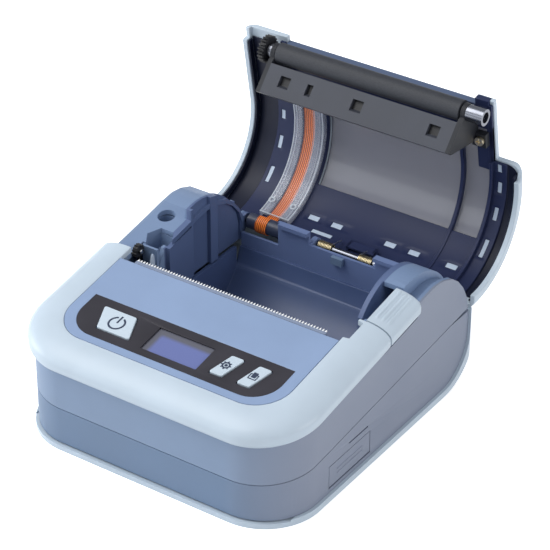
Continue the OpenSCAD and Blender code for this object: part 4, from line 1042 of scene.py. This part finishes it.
def roundedLine(corners, radius):
    line = []
    for k, here in enumerate(corners):
        here, back, ahead = Vector(here), Vector(corners[k - 1]), Vector(corners[(k + 1) % len(corners)])
        u, v = (back - here).normalized(), (ahead - here).normalized()
        reach = radius / math.tan(u.angle(v) / 2)
        first, last = here + u * reach, here + v * reach
        for t in (n / 6 for n in range(7)):
            line.append(tuple(first * (1 - t) ** 2 + here * 2 * t * (1 - t) + last * t * t))
    return line


def box(left, low, right, high, radius):
    return roundedLine([(left, low), (right, low), (right, high), (left, high)], radius)


def onKey(middle, shift=(0, 0)):
    return lambda u, v, up: onDeck(middle + shift[0] + u, keyShape["along"] + shift[1] + v, up)


def inkMarks(middle):
    low, high = keyShape["top"] - ink["sunk"], keyShape["top"] + ink["rise"]
    outer, inner = (arc(radius, *powerMark["turn"], 48) for radius in powerMark["radii"])
    power = Form().band(outer, inner, onKey(middle, powerMark["ringAt"]), low, high, False)
    power.prism(box(*powerMark["bar"]), onKey(middle, powerMark["barAt"]), low, high)
    wheel = toothed(gearMark["tip"], gearMark["root"], 8, 8, (0, 1, 7))
    gear = Form().band(wheel, circle(gearMark["bore"], 64), onKey(middle, gearMark["at"]), low, high)
    gear.prism(circle(gearMark["dot"], 24), onKey(middle, gearMark["at"]), low, high)
    frame, hole = box(*feedMark["outside"]), box(*feedMark["inside"])
    feed = Form().band(frame, hole, onKey(middle, feedMark["frameAt"]), low, high)
    feed.prism(box(*feedMark["page"]), onKey(middle, feedMark["pageAt"]), low, keyShape["top"] + ink["pageRise"])
    return {"power_key": power, "settings_key": gear, "feed_key": feed}


def keyCaps():
    for name, key in keys.items():
        wide, slant, long = key["wide"] / 2, key["slant"] / 2, keyShape["long"] / 2
        corners = [(slant - wide, -long), (slant + wide, -long), (wide - slant, long), (-wide - slant, long)]
        outline = roundedLine(corners, keyShape["corner"])
        cap = Form().prism(outline, onKey(key["middle"]), keyShape["low"], keyShape["top"])
        setDown(name + "_cap", cap, "keyPlastic", name, "pale_plastic", name, smooth=40, edge=(0.14, 50))
        setDown(name + "_mark", inkMarks(key["middle"])[name], "inkPlastic", name, "black_plastic")


keyCaps()
print("keys capped and marked")

# The studio, in metres and watts: a pale sky, brighter to the camera than as light, and four lamps
sky = {"colour": (0.93, 0.96, 1.0), "level": 0.55}
lampsAim = (0, 0.01, 0.04)
Lamp = namedtuple("Lamp", "place size power colour")
lamps = {
    "key": Lamp((-0.55, -0.35, 1.15), (0.9, 0.7), 8.2, (1.0, 0.99, 0.97)),
    "front": Lamp((-0.75, -1.2, 0.6), (0.9, 0.6), 2.4, (0.94, 0.97, 1.0)),
    "left": Lamp((-1.5, -0.5, 0.45), (0.7, 0.6), 12.0, (0.97, 0.99, 1.0)),
    "right": Lamp((1.3, 0.1, 0.5), (0.7, 0.6), 5.4, (1.0, 0.98, 0.97)),
}


def openSky():
    world = bpy.data.worlds.new("studio")
    bpy.context.scene.world = world
    shading = Shading(world)
    back = shading.tree.nodes["Background"].inputs
    camera = shading.node("ShaderNodeLightPath", output="Is Camera Ray")
    seen = camera.maths("MAXIMUM", camera, camera.also("Is Transmission Ray"))
    shading.feed(back["Color"], sky["colour"])
    shading.feed(back["Strength"], shading.ramp(seen, 0, 1, sky["level"], 1.0))


def hangLamps():
    for name, lamp in lamps.items():
        data = bpy.data.lights.new(name, "AREA")
        data.shape, data.size, data.size_y = "RECTANGLE", *lamp.size
        data.energy, data.color = lamp.power, lamp.colour
        light = bpy.data.objects.new(name, data)
        bpy.context.scene.collection.objects.link(light)
        place = Vector(lamp.place)
        turn = (Vector(lampsAim) - place).to_track_quat("-Z", "Y").to_matrix().to_4x4()
        light.matrix_world = Matrix.Translation(place) @ turn


openSky()
hangLamps()

# The floor, in metres: a pale sheet just under the printer, lifted to white for the camera and not seen from below
sheet = {"half": 3, "height": -0.1 * mm, "colour": (0.86, 0.87, 0.88), "glow": 0.62}


def floorSheet():
    half, height = sheet["half"], sheet["height"]
    mesh = bpy.data.meshes.new("floor")
    corners = [(-half, -half, height), (half, -half, height), (half, half, height), (-half, half, height)]
    mesh.from_pydata(corners, [], [(0, 1, 2, 3)])
    floor = bpy.data.objects.new("floor", mesh)
    bpy.context.scene.collection.objects.link(floor)
    finish = Finish("floorPaper")
    finish.tree.nodes.remove(finish.shader)
    paper = finish.node("ShaderNodeBsdfDiffuse", None, {"Color": sheet["colour"]})
    glow = finish.node("ShaderNodeEmission", None, {"Color": (1, 1, 1), "Strength": sheet["glow"]})
    nothing = finish.node("ShaderNodeEmission", None, {"Color": (0, 0, 0), "Strength": 0.0})
    camera = finish.node("ShaderNodeLightPath", output="Is Camera Ray")
    seen = camera.maths("MAXIMUM", camera, camera.also("Is Glossy Ray"))
    lift = finish.node("ShaderNodeMixShader", None, {0: seen, 1: nothing, 2: glow})
    above = finish.node("ShaderNodeAddShader", None, {0: paper, 1: lift})
    below = finish.node("ShaderNodeNewGeometry", output="Backfacing")
    clear = finish.node("ShaderNodeBsdfTransparent")
    oneSided = finish.node("ShaderNodeMixShader", None, {0: below, 1: above, 2: clear})
    finish.feed(finish.tree.nodes["Material Output"].inputs["Surface"], oneSided)
    mesh.materials.append(finish.material)


floorSheet()
bpy.context.scene.view_settings.view_transform = "Standard"
print("studio lit")
